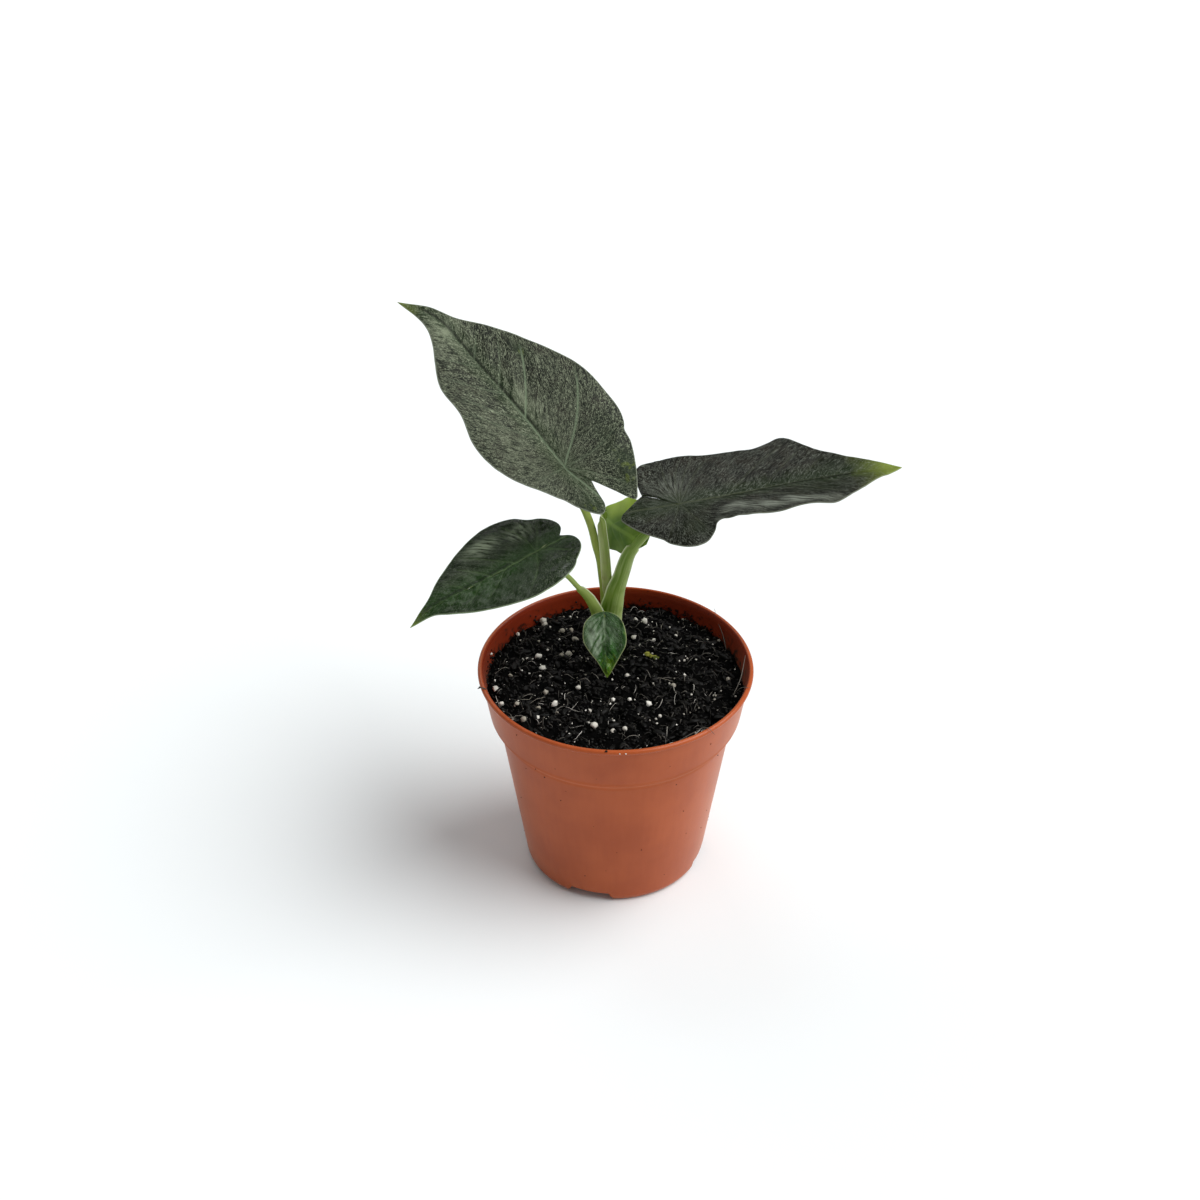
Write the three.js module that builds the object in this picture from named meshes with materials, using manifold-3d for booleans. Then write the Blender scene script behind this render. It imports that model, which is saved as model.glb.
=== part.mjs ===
// A young velvet-leaved alocasia in a 12 cm plastic nursery pot.
// Millimetres, +Z up. The origin is the centre of the pot's underside, on the surface it stands on,
// and the front of the plant faces -Y.
import * as THREE from 'three';
import { mergeVertices } from 'three/addons/utils/BufferGeometryUtils.js';
import Module from 'manifold-3d';

const wasm = await Module();
wasm.setup();

// Gap kept between two pieces that touch.
const GAP = 0.3;

// Pot, moulded with one wall thickness all over.
const POT_RIM_RADIUS = 60;
const POT_HEIGHT = 102.4;
const POT_WALL = 1.2;
const BAND_TOP_RADIUS = 58.3;
const BAND_BOTTOM_RADIUS = 54.9;
const BAND_BOTTOM_Z = 79.4;
const STEP_RADIUS = 51.2;
const STEP_Z = 75.5;
const FOOT_RADIUS = 40.8;
const FOOT_Z = 4;
const BEAD_HEIGHT = 2.2;
const BEAD_ROUND = 0.8;
const FOOT_ROUND = 1.2;
const FLOOR_RECESS = 3.8;
const FOOT_RING_INNER = 33;
const CENTRE_PAD_RADIUS = 14;
const POT_SIDES = 60;

// Drainage: round holes in the recessed ring, and channels under the foot ring.
const HOLE_COUNT = 8;
const HOLE_RADIUS = 4;
const HOLE_CIRCLE = 23.5;
const NOTCH_COUNT = 4;
const NOTCH_WIDTH = 19;
const NOTCH_HEIGHT = 3.7;
const NOTCH_DEPTH = 14;
const NOTCH_SLANT = 1.6;
const FIRST_NOTCH_DEG = -106;
const HOLE_SIDES = 16;
// How far a cutting body reaches past the face that it cuts.
const CUT_OVER = 1;

// Potting soil, with the white grains of perlite that stick out of it.
const SOIL_Z = 92;
const SOIL_MOUND = 3.5;
const MOUND_CENTRE = [-2.5, 13];
const SOIL_SIDES = 44;
const SOIL_RINGS = 9;
const GRAIN_COUNT = 40;
const GRAIN_RADIUS = [1.1, 2];
const GRAIN_SHAPE = [1, 0.85, 0.8];
const CHIP_COUNT = 26;
const CHIP_RADIUS = [2, 3.5];
const CHIP_SHAPE = [1, 0.5, 0.45];
const SCATTER_RADIUS = 49;
const CLEAR_OF_CROWN = 12;
const SEED = 20;

// The crown: stalks stand on the corm, below the soil.
const CROWN = [-2.5, 21];
const CORM_RADIUS = 8.5;
const CORM_BOTTOM = 56;
const CORM_TOP = 79;
const ROOT_COUNT = 6;
const ROOT_SIDES = 6;
const ROOT_STEPS = 8;

// Leaf blades.
const BLADE_THICKNESS = 0.75;
const CREASE_WIDTH = 1.5;
const MIDRIB_KEEL = 0.8;
const BLADE_STEP_LENGTH = 3;
const BLADE_MIN_STEPS = 14;
const BLADE_ROWS = 4;
const SPAN_DIVISIONS = 100;
const FAN_POWER = 1.8;
const WAVE_REACH = 25;
const DROOP_REACH = 60;
const KEEL_WIDTH = 2;

// Each blade: rib holds points of the midrib, from the notch between the two lobes, through the joint
// with the stalk, to the tip. left and right are the flat outline, from the notch to the tip, as
// [along the rib from the joint, out from the rib]. fold is how far each half is raised, in radians,
// at [share of the length, angle]. wave is the height and the length of the waves along the edge.
const LEAVES = [
  {
    name: 'upper_left', colour: 0x39433a,
    rib: [[-13.1, 12, 186.6], [-21.5, 18, 191.1], [-39, 30, 208.5], [-59.9, 43, 227.6], [-74.9, 52, 240.9],
      [-91.7, 58, 246.5]],
    facing: [0.2, -0.65, 0.73], notch: [-12, 3],
    left: [[-21, 6.3], [-31, 9], [-28.5, 13.5], [-20, 22], [-8, 30.5], [8, 35.5], [24, 35], [38, 30], [52, 23],
      [66, 14.5], [77, 6], [88, 3]],
    right: [[-17, 1], [-24, -1.5], [-25.5, -6], [-17, -10.5], [-5, -14.5], [8, -23.5], [20, -28.5], [32, -29],
      [44, -24.5], [57, -22], [67, -15], [76, -9], [88, -3.5]],
    foldLeft: [[-0.3, 0], [0, 0.05], [0.4, 0.1], [1, 0.1]],
    foldRight: [[-0.3, 0.15], [0, 0.3], [0.4, 0.42], [0.8, 0.25], [1, 0.1]],
    droop: [0.15, 0.2], wave: [0.5, 30],
  },
  {
    name: 'right', colour: 0x343a35,
    rib: [[16.1, 12, 175], [26.1, 14, 175.8], [51.9, 22, 176.3], [77.5, 28, 178.7], [103.3, 34, 179.9],
      [121.6, 38, 179.5]],
    facing: [0, -0.15, 1], notch: [-14, -8],
    left: [[-19, -4], [-25, 2], [-24, 6], [-18, 12], [-10, 17], [-2, 22.5], [4, 22.5], [9.5, 18.5],
      [11.5, 15.5], [14, 16], [17.5, 21], [24, 25], [36, 25.5], [49, 26], [61, 25], [72, 18], [84, 8.5],
      [92, 4]],
    right: [[-14.5, -12], [-14.5, -20], [-12, -26], [-4, -28.5], [8, -27.5], [20, -26], [31, -24],
      [39, -23.5], [47, -26], [53, -26.5], [61, -20], [70, -14], [80, -8.5], [90, -4.5]],
    foldLeft: [[-0.3, -0.15], [0.06, -0.12], [0.2, 0.42], [0.5, 0.42], [0.8, 0.3], [1, 0.15]],
    foldRight: [[-0.3, 0.05], [0, 0.15], [0.3, 0.2], [0.5, 0.2], [1, 0.1]],
    droop: [0.2, 0.2], wave: [0.6, 24],
  },
  {
    name: 'lower_left', colour: 0x2f3d33,
    rib: [[-25.5, 14, 156.9], [-33.4, 8, 155.8], [-46.7, 2, 150.6], [-61.3, -4, 145], [-76.3, -9, 138.6],
      [-86.7, -11, 129.1]],
    facing: [-0.25, -0.45, 0.85], notch: [-13, 1.5],
    left: [[-16, 5], [-15.5, 9], [-11, 13.5], [0, 19], [12, 22], [22, 20.5], [32, 16.5], [42, 10.5],
      [50, 4.5], [57, 2]],
    right: [[-17, -1], [-18, -5.5], [-16, -10], [-10, -15], [-1, -20.5], [11, -21], [23, -18],
      [34, -13.5], [44, -8.5], [51, -4], [58, -1.7]],
    foldLeft: [[0, 0.22], [1, 0.22]],
    foldRight: [[0, 0.22], [1, 0.22]],
    droop: [0.3, 0.3], wave: [0, 30],
  },
  {
    name: 'back', colour: 0x5c8a35,
    rib: [[-6.6, 23.5, 164], [-6.1, 24.5, 162.3], [-1.5, 28, 155.5], [3.3, 31, 150], [8.6, 33, 145],
      [13.2, 33, 142.7]],
    facing: [-0.1, 0.6, -0.8], notch: [-1.2, 0],
    left: [[-2, 2.5], [0.5, 6], [4, 9], [7.5, 12], [12, 15], [18, 16], [24, 14.5], [28, 9.5], [29.6, 4]],
    right: [[-1.2, -1.5], [0.8, -3.8], [3.2, -7.2], [8, -10.3], [14, -9.5], [19, -9], [24, -6],
      [27.5, -2.5]],
    foldLeft: [[0, -0.3], [1, -0.3]],
    foldRight: [[0, -0.05], [1, -0.05]],
    droop: [-0.2, -0.2], wave: [-0.3, 18],
  },
  {
    name: 'small_front', colour: 0x4d6b45,
    rib: [[-5.1, 9.8, 124.2], [-5.1, 9, 123.1], [-4.7, 5.5, 116.6], [-4.2, 0.5, 106.9], [-3.7, -3.5, 97.4]],
    facing: [0, -0.9, 0.45], notch: [-0.6, 0],
    left: [[-0.3, 3], [1, 6.3], [4, 9.3], [8.5, 10.2], [12.5, 9.8], [16.5, 7.5], [21, 4.2], [26, 1.5]],
    right: [[-0.3, -3], [1.5, -6.5], [5, -8.8], [10, -9.8], [14.5, -9.2], [19, -6.5], [23, -4], [26.5, -1.8]],
    foldLeft: [[0, 0.35], [1, 0.35]],
    foldRight: [[0, 0.35], [1, 0.35]],
    droop: [0.5, 0.5], wave: [0, 20],
  },
];

// Each stalk: path from the corm to the joint. outward is the side its sheath turns to the outside.
// A section is an ellipse, half widths [across, through], bent by curl round what it wraps, given at
// [share of the length, across, through, curl]. The sheath ends where across drops to the round stalk.
const STALKS = [
  {
    name: 'small_front',
    path: [[-4, 17.5, 74], [-4.5, 16, 95], [-5.1, 12.5, 110], [-5.1, 9, 123.1]],
    outward: [0, -1, 0],
    sections: [[0, 2, 1.3, 0], [0.5, 1.5, 1.2, 0], [1, 1.1, 1.1, 0]],
  },
  {
    name: 'back',
    path: [[-1, 23.5, 74], [-1.2, 24, 95], [-2, 22.2, 114], [-3.3, 20, 126], [-4.1, 17.6, 136.5],
      [-4.5, 16.4, 144], [-5.1, 16.2, 152.2], [-5.8, 16.9, 158.3], [-6.2, 19.5, 162], [-6.1, 24.5, 162.3]],
    outward: [0.2, 1, 0],
    sections: [[0, 2.4, 1.6, 0], [0.5, 2.4, 1.4, 0], [0.85, 2.2, 1.3, 0], [0.94, 1.8, 1.2, 0], [1, 1.1, 1, 0]],
  },
  {
    name: 'upper_left',
    path: [[-4.3, 22.5, 74], [-4.8, 22.3, 95], [-5.2, 22, 122.9], [-6, 22, 132.9], [-7.1, 22.3, 142.4],
      [-8.7, 22.5, 149.1], [-10.5, 22.7, 157.8], [-13, 22.8, 165.8], [-17.9, 22, 177.4], [-21.5, 18, 191.1]],
    outward: [-0.9, -0.3, 0],
    sections: [[0, 2.8, 1.6, 0.08], [0.35, 2.4, 1.6, 0.08], [0.6, 1.9, 1.7, 0.04], [0.7, 1.7, 1.7, 0],
      [1, 1.2, 1.2, 0]],
  },
  {
    name: 'right',
    path: [[-1, 19.5, 74], [-1.2, 19, 95], [-1.7, 18.5, 109.3], [-1.1, 17.5, 118.7], [0.6, 16.5, 130],
      [3, 16, 139.3], [5.2, 16, 148.1], [7.6, 16, 152.7], [12.1, 16, 158.9], [18.8, 15.5, 166.3],
      [26.1, 14, 175.8]],
    outward: [0.35, -0.93, 0],
    sections: [[0, 3.8, 1.7, 0.08], [0.28, 5.5, 1.8, 0.08], [0.39, 5.6, 1.8, 0.08], [0.5, 4.6, 1.9, 0.08],
      [0.6, 3.8, 1.9, 0.07], [0.72, 3.4, 1.9, 0.03], [0.74, 2, 1.8, 0], [1, 1.3, 1.3, 0]],
  },
  {
    name: 'lower_left',
    path: [[-5, 18.5, 74], [-6.6, 17.5, 95], [-7.4, 16, 111.6], [-8.6, 15, 118.3], [-10.4, 14, 124.3],
      [-12.9, 13, 129.7], [-16.7, 12, 135.1], [-20.3, 11, 140.5], [-27.2, 9.5, 148.2], [-33.4, 8, 155.8]],
    outward: [-0.5, -0.87, 0],
    sections: [[0, 2.8, 1.3, 0.1], [0.38, 3.4, 1.4, 0.1], [0.5, 3.6, 1.4, 0.1], [0.6, 3.2, 1.4, 0.08],
      [0.67, 2.6, 1.3, 0.05], [0.69, 1.2, 1.1, 0], [1, 0.85, 0.85, 0]],
  },
];
const STALK_SIDES = 10;
const STALK_STEPS = 20;

// A repeatable random number in 0..1.
function makeRandom(seed) {
  let state = seed;
  return () => {
    state = (state * 1664525 + 1013904223) % 4294967296;
    return state / 4294967296;
  };
}

// A smooth value at t through stations [place, value, value, ...], flat beyond the ends.
function valueAt(stations, t, column = 1) {
  const last = stations.length - 1;
  if (t <= stations[0][0]) return stations[0][column];
  if (t >= stations[last][0]) return stations[last][column];
  const next = stations.findIndex((station) => station[0] >= t);
  const [from, to] = [stations[next - 1], stations[next]];
  const share = THREE.MathUtils.smoothstep(t, from[0], to[0]);
  return THREE.MathUtils.lerp(from[column], to[column], share);
}

// A solid for cutting and joining, from any closed geometry.
function toSolid(geometry) {
  const bare = geometry.clone();
  bare.deleteAttribute('normal');
  bare.deleteAttribute('uv');
  const merged = mergeVertices(bare, 1e-4);
  const index = Array.from(merged.index.array);
  const triangles = [];
  for (let i = 0; i < index.length; i += 3) {
    const [a, b, c] = index.slice(i, i + 3);
    if (a !== b && b !== c && c !== a) triangles.push(a, b, c);
  }
  return new wasm.Manifold(new wasm.Mesh({
    numProp: 3,
    vertProperties: Float32Array.from(merged.attributes.position.array),
    triVerts: Uint32Array.from(triangles),
  }));
}

function toGeometry(solid) {
  const mesh = solid.getMesh();
  const geometry = new THREE.BufferGeometry();
  geometry.setAttribute('position', new THREE.BufferAttribute(Float32Array.from(mesh.vertProperties), 3));
  geometry.setIndex(new THREE.BufferAttribute(Uint32Array.from(mesh.triVerts), 1));
  geometry.computeVertexNormals();
  return geometry;
}

// The largest body of a solid, without the scraps that a cut may leave.
function largestBody(solid) {
  return solid.decompose().reduce((best, body) => (body.volume() > best.volume() ? body : best));
}

// A profile of [radius, height] points turned round the upright axis.
function turned(profile, sides) {
  const points = profile.map(([radius, height]) => new THREE.Vector2(radius, height));
  return new THREE.LatheGeometry(points, sides).rotateX(Math.PI / 2);
}

function addPiece(group, name, geometry, colour, roughness) {
  const material = new THREE.MeshStandardMaterial({ color: colour, roughness, metalness: 0 });
  const mesh = new THREE.Mesh(geometry, material);
  mesh.name = name;
  group.add(mesh);
}

// Inside of the pot's wall, at the floor's edge, below and above the step, and at the rim.
const FLOOR_TOP = FLOOR_RECESS + POT_WALL;
const INSIDE = [
  [FOOT_RADIUS - POT_WALL - 1, FLOOR_TOP],
  [FOOT_RADIUS - POT_WALL, FLOOR_TOP + POT_WALL],
  [STEP_RADIUS - POT_WALL, STEP_Z],
  [BAND_BOTTOM_RADIUS - POT_WALL, BAND_BOTTOM_Z],
  [BAND_TOP_RADIUS - POT_WALL, POT_HEIGHT - BEAD_HEIGHT],
];

// The outline from the axis: underside with its pad, recess and foot ring, then the wall, the band and
// the rolled bead of the rim.
function makePot() {
  const beadBottom = POT_HEIGHT - BEAD_HEIGHT;
  const outside = [
    [0, 0], [CENTRE_PAD_RADIUS, 0], [CENTRE_PAD_RADIUS + 1, FLOOR_RECESS],
    [FOOT_RING_INNER, FLOOR_RECESS], [FOOT_RING_INNER + 1, 0],
    [FOOT_RADIUS - 2.5 * FOOT_ROUND, 0], [FOOT_RADIUS - FOOT_ROUND, FOOT_ROUND], [FOOT_RADIUS, FOOT_Z],
    [STEP_RADIUS, STEP_Z], [BAND_BOTTOM_RADIUS, BAND_BOTTOM_Z],
    [BAND_TOP_RADIUS, beadBottom], [POT_RIM_RADIUS - BEAD_ROUND / 3, beadBottom + BEAD_ROUND / 2],
    [POT_RIM_RADIUS, POT_HEIGHT - BEAD_ROUND], [POT_RIM_RADIUS - BEAD_ROUND / 2, POT_HEIGHT - BEAD_ROUND / 4],
    [POT_RIM_RADIUS - 1.5 * BEAD_ROUND, POT_HEIGHT], [POT_RIM_RADIUS - 2.5 * BEAD_ROUND, POT_HEIGHT - 0.3],
  ];
  const inside = [...INSIDE].reverse();
  const body = toSolid(turned([...outside, ...inside, [0, FLOOR_TOP]], POT_SIDES));
  return [...drainageHoles(), ...drainageChannels()].reduce((pot, cut) => pot.subtract(cut), body);
}

function drainageHoles() {
  const holes = [];
  for (let i = 0; i < HOLE_COUNT; i += 1) {
    const turn = (2 * Math.PI * (i + 0.5)) / HOLE_COUNT + THREE.MathUtils.degToRad(FIRST_NOTCH_DEG);
    const depth = 2 * (FLOOR_TOP + CUT_OVER);
    const hole = new THREE.CylinderGeometry(HOLE_RADIUS, HOLE_RADIUS, depth, HOLE_SIDES).rotateX(Math.PI / 2);
    hole.translate(HOLE_CIRCLE * Math.cos(turn), HOLE_CIRCLE * Math.sin(turn), 0);
    holes.push(toSolid(hole));
  }
  return holes;
}

// A channel's end view is a trapezoid, wider at the surface that the pot stands on.
function drainageChannels() {
  const [wide, narrow] = [NOTCH_WIDTH / 2 + NOTCH_SLANT, NOTCH_WIDTH / 2 - NOTCH_SLANT / 2];
  const end = new THREE.Shape([
    new THREE.Vector2(-wide, -CUT_OVER), new THREE.Vector2(wide, -CUT_OVER),
    new THREE.Vector2(narrow, NOTCH_HEIGHT), new THREE.Vector2(-narrow, NOTCH_HEIGHT),
  ]);
  const channels = [];
  for (let i = 0; i < NOTCH_COUNT; i += 1) {
    const turn = (2 * Math.PI * i) / NOTCH_COUNT + THREE.MathUtils.degToRad(FIRST_NOTCH_DEG);
    const channel = new THREE.ExtrudeGeometry(end, { depth: NOTCH_DEPTH, bevelEnabled: false });
    channel.rotateX(Math.PI / 2).translate(0, 2 * CUT_OVER - FOOT_RING_INNER, 0).rotateZ(turn + Math.PI / 2);
    channels.push(toSolid(channel));
  }
  return channels;
}

// Height of the soil's surface, a low heap round the stalks with clods and hollows.
function soilHeight(x, y) {
  const reach = Math.hypot(x - MOUND_CENTRE[0], y - MOUND_CENTRE[1]) / POT_RIM_RADIUS;
  const heap = SOIL_MOUND * Math.max(0, 1 - reach * reach);
  const clods = 0.8 * Math.sin(0.31 * x + 1.3) * Math.sin(0.27 * y + 0.4)
    + 0.6 * Math.sin(0.62 * x - 0.35 * y + 2) + 0.4 * Math.sin(0.55 * y + 0.5 * x);
  return SOIL_Z + heap + clods;
}

function insideRadius(z) {
  const next = INSIDE.findIndex(([, height]) => height >= z);
  const [[r0, z0], [r1, z1]] = [INSIDE[next - 1], INSIDE[next]];
  return THREE.MathUtils.mapLinear(z, z0, z1, r0, r1);
}

function makeSoilBody() {
  const bottom = FLOOR_TOP + GAP;
  const sides = INSIDE.slice(1, 4).map(([radius, height]) => [radius - GAP, height + GAP]);
  const top = insideRadius(SOIL_Z) - GAP;
  const profile = [[0, bottom], [sides[0][0] - 1, bottom], ...sides, [top, SOIL_Z]];
  for (let i = SOIL_RINGS - 1; i >= 0; i -= 1) profile.push([(top * i) / SOIL_RINGS, SOIL_Z]);
  const geometry = turned(profile, SOIL_SIDES);
  const place = geometry.attributes.position;
  for (let i = 0; i < place.count; i += 1) {
    const [x, y] = [place.getX(i), place.getY(i)];
    const rimShare = THREE.MathUtils.smoothstep(Math.hypot(x, y), top - 0.1, top);
    if (place.getZ(i) > SOIL_Z - 0.1) place.setZ(i, THREE.MathUtils.lerp(soilHeight(x, y), SOIL_Z, rimShare));
  }
  return toSolid(geometry);
}

// Perlite grains and bark chips, scattered by a seeded draw and sunk half into the surface.
function makeGrains() {
  const random = makeRandom(SEED);
  const grains = [];
  while (grains.length < GRAIN_COUNT + CHIP_COUNT) {
    const [reach, turn] = [Math.sqrt(random()) * SCATTER_RADIUS, random() * 2 * Math.PI];
    const [x, y] = [reach * Math.cos(turn), reach * Math.sin(turn)];
    const isChip = grains.length >= GRAIN_COUNT;
    const radius = THREE.MathUtils.lerp(...(isChip ? CHIP_RADIUS : GRAIN_RADIUS), random());
    const shape = isChip ? new THREE.OctahedronGeometry(radius) : new THREE.IcosahedronGeometry(radius);
    shape.scale(...(isChip ? CHIP_SHAPE : GRAIN_SHAPE)).rotateX(random() / 2).rotateZ(random() * Math.PI);
    shape.translate(x, y, soilHeight(x, y) + 0.3 * radius);
    const isClear = Math.hypot(x - CROWN[0], y - CROWN[1]) > CLEAR_OF_CROWN;
    if (isClear) grains.push(toSolid(shape));
  }
  return grains;
}

// A closed tube along a stalk's or root's path. Its section is an ellipse bent back at its edges, and
// grow makes it larger all round.
function makeTube(stalk, sides, steps, grow = 0) {
  const curve = new THREE.CatmullRomCurve3(stalk.path.map((point) => new THREE.Vector3(...point)));
  const outward = new THREE.Vector3(...stalk.outward).normalize();
  const geometry = new THREE.CylinderGeometry(1, 1, 1, sides, steps);
  const place = geometry.attributes.position;
  for (let i = 0; i < place.count; i += 1) {
    const t = place.getY(i) + 0.5;
    const centre = curve.getPointAt(t);
    const tangent = curve.getTangentAt(t);
    const side = new THREE.Vector3().crossVectors(tangent, outward).normalize();
    const out = new THREE.Vector3().crossVectors(side, tangent);
    const across = (valueAt(stalk.sections, t, 1) + grow) * place.getX(i);
    const through = (valueAt(stalk.sections, t, 2) + grow) * place.getZ(i);
    const curl = valueAt(stalk.sections, t, 3) * across * across;
    const overrun = grow * Math.sign(t - 0.5) * (t === 0 || t === 1 ? 1 : 0);
    centre.addScaledVector(side, across).addScaledVector(out, through - curl);
    centre.addScaledVector(tangent, overrun);
    place.setXYZ(i, centre.x, centre.y, centre.z);
  }
  return toSolid(geometry);
}

// The corm is a short upright tuber, and fleshy roots run out of it into the soil.
function makeCorm(grow = 0) {
  const height = (CORM_TOP - CORM_BOTTOM) / 2;
  const tuber = new THREE.SphereGeometry(1, 16, 10).rotateX(Math.PI / 2);
  tuber.scale(CORM_RADIUS + grow, CORM_RADIUS + grow, height + grow);
  tuber.translate(CROWN[0], CROWN[1], (CORM_TOP + CORM_BOTTOM) / 2);
  let corm = toSolid(tuber);
  const random = makeRandom(SEED);
  for (let i = 0; i < ROOT_COUNT; i += 1) {
    const turn = (2 * Math.PI * (i + 0.4 * random())) / ROOT_COUNT;
    const [dx, dy] = [Math.cos(turn), Math.sin(turn)];
    const depth = 16 + 14 * random();
    const pointAt = (pull, reach, z) => [CROWN[0] * pull + reach * dx, CROWN[1] * pull + reach * dy, z];
    const root = {
      path: [pointAt(1, 3, 65), pointAt(1, 10, 60), pointAt(0.7, 18, 42), pointAt(0.3, 24, depth)],
      outward: [-dy, dx, 0],
      sections: [[0, 1.8, 1.8, 0], [1, 0.9, 0.9, 0]],
    };
    corm = corm.add(makeTube(root, ROOT_SIDES, ROOT_STEPS, grow));
  }
  return corm;
}

// The blade's surface as a function of flat leaf coordinates: x along the midrib from the joint, and
// y out from it. Each half is raised by its fold and falls away towards its edge.
function bladeSurface(leaf) {
  const ribPoints = leaf.rib.map((point) => new THREE.Vector3(...point));
  const curve = new THREE.CatmullRomCurve3(ribPoints, false, 'catmullrom');
  const spans = leaf.rib.length - 1;
  curve.arcLengthDivisions = SPAN_DIVISIONS * spans;
  const total = curve.getLength();
  const jointAt = curve.getLengths()[SPAN_DIVISIONS];
  const length = total - jointAt;
  const facing = new THREE.Vector3(...leaf.facing).normalize();
  return (x, y) => {
    const share = THREE.MathUtils.clamp((x + jointAt) / total, 0, 1);
    const tangent = curve.getTangentAt(share);
    const point = curve.getPointAt(share).addScaledVector(tangent, x + jointAt - share * total);
    const side = new THREE.Vector3().crossVectors(tangent, facing).normalize();
    const normal = new THREE.Vector3().crossVectors(side, tangent);
    const fold = valueAt(y > 0 ? leaf.foldLeft : leaf.foldRight, x / length);
    const droop = leaf.droop[y > 0 ? 0 : 1];
    const out = Math.hypot(y, CREASE_WIDTH) - CREASE_WIDTH;
    const phase = (2 * Math.PI * x) / leaf.wave[1] + Math.sign(y);
    const wave = leaf.wave[0] * (y / WAVE_REACH) ** 2 * Math.sin(phase);
    const rise = Math.sin(fold) * out - (droop * y * y) / DROOP_REACH + wave;
    point.addScaledVector(side, y * Math.cos(fold)).addScaledVector(normal, rise);
    return { point, normal, length };
  };
}

// A thin closed blade. On each half, step i runs along the outline from the notch to the tip, and row j
// runs from the midline out to the edge. Both faces are split into triangles alike, and a strip joins
// them round the edge.
function makeBlade(leaf, grow = 0) {
  const surface = bladeSurface(leaf);
  const tip = [surface(0, 0).length, 0];
  const steps = Math.max(BLADE_MIN_STEPS, Math.round(tip[0] / BLADE_STEP_LENGTH));
  const rowSize = BLADE_ROWS + 1;
  const faceSize = (steps + 1) * rowSize;
  const positions = [];
  const triangles = [];
  const addQuad = (a, b, c, d, isTurned) => {
    if (isTurned) triangles.push(a, c, b, a, d, c);
    else triangles.push(a, b, c, a, c, d);
  };
  [leaf.left, leaf.right].forEach((side, half) => {
    const edgePoints = [leaf.notch, ...side, tip].map(([x, y]) => new THREE.Vector2(x, y));
    const outline = new THREE.SplineCurve(edgePoints);
    const isLeft = half === 0;
    for (const face of [1, -1]) {
      const first = positions.length / 3;
      for (let i = 0; i <= steps; i += 1) {
        const edge = outline.getPointAt(i / steps);
        const rib = midlinePoint(leaf.notch, tip, i / steps);
        for (let j = 0; j <= BLADE_ROWS; j += 1) {
          const x = THREE.MathUtils.lerp(rib[0], edge.x, j / BLADE_ROWS);
          const y = THREE.MathUtils.lerp(rib[1], edge.y, j / BLADE_ROWS);
          const { point, normal } = surface(x, y);
          const keel = face < 0 ? MIDRIB_KEEL * (1 - i / steps) * Math.exp(-((y / KEEL_WIDTH) ** 2)) : 0;
          point.addScaledVector(normal, face * (BLADE_THICKNESS / 2 + grow + keel));
          positions.push(point.x, point.y, point.z);
          const a = first + i * rowSize + j;
          const isTurned = isLeft === (face > 0);
          if (i < steps && j < BLADE_ROWS) addQuad(a, a + rowSize, a + rowSize + 1, a + 1, isTurned);
          const isEdge = face < 0 && i < steps && j === BLADE_ROWS;
          const above = a - faceSize;
          if (isEdge) addQuad(above, above + rowSize, a + rowSize, a, isLeft);
        }
      }
    }
  });
  const geometry = new THREE.BufferGeometry();
  geometry.setAttribute('position', new THREE.Float32BufferAttribute(positions, 3));
  geometry.setIndex(triangles);
  return toSolid(geometry);
}

// A point of the midline: from the notch to the joint, then along the rib to the tip. It starts slowly,
// so that the rows fan out round the lobes.
function midlinePoint(notch, tip, t) {
  const reach = Math.hypot(...notch);
  const along = (tip[0] + reach) * t ** FAN_POWER - reach;
  return along < 0 ? [(notch[0] * -along) / reach, (notch[1] * -along) / reach] : [along, 0];
}

const plant = new THREE.Group();
addPiece(plant, 'pot', toGeometry(makePot()), 0xb06a52, 0.45);
addPiece(plant, 'corm_with_roots', toGeometry(makeCorm()), 0xc9b48c, 0.7);

// Each stalk is cut clear of its blade, of the corm and of the stalks that it wraps. Its room is the
// hole that it stands in, wider by the gap.
const rooms = [];
for (const stalk of STALKS) {
  const leaf = LEAVES.find(({ name }) => name === stalk.name);
  const tube = makeTube(stalk, STALK_SIDES, STALK_STEPS);
  const cuts = [makeBlade(leaf, GAP), makeCorm(GAP), ...rooms];
  const solid = largestBody(cuts.reduce((body, cut) => body.subtract(cut), tube));
  addPiece(plant, `stalk_${stalk.name}`, toGeometry(solid), 0x8aa34c, 0.5);
  rooms.push(makeTube(stalk, STALK_SIDES, STALK_STEPS, GAP));
}
for (const leaf of LEAVES) {
  addPiece(plant, `blade_${leaf.name}`, toGeometry(makeBlade(leaf)), leaf.colour, 0.55);
}

const heap = makeGrains().reduce((body, grain) => body.add(grain), makeSoilBody());
const soil = [makeCorm(GAP), ...rooms].reduce((body, room) => body.subtract(room), heap);
addPiece(plant, 'potting_soil', toGeometry(largestBody(soil)), 0x1d1815, 0.95);

export default plant;
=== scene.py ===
# %% [markdown]
# # A velvet-leaved alocasia in its nursery pot
# A young aroid house plant: five arrow-shaped leaves on sheathed stalks, standing in dark potting soil in
# a round terracotta-coloured plastic pot of 12 cm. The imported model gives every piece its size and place.
# This script makes the surface of each piece finer, in the same frame, and gives it the finish that the
# real material has. Shapes are worked out in millimetres and written to the meshes in metres.

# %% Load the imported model
import math

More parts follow.
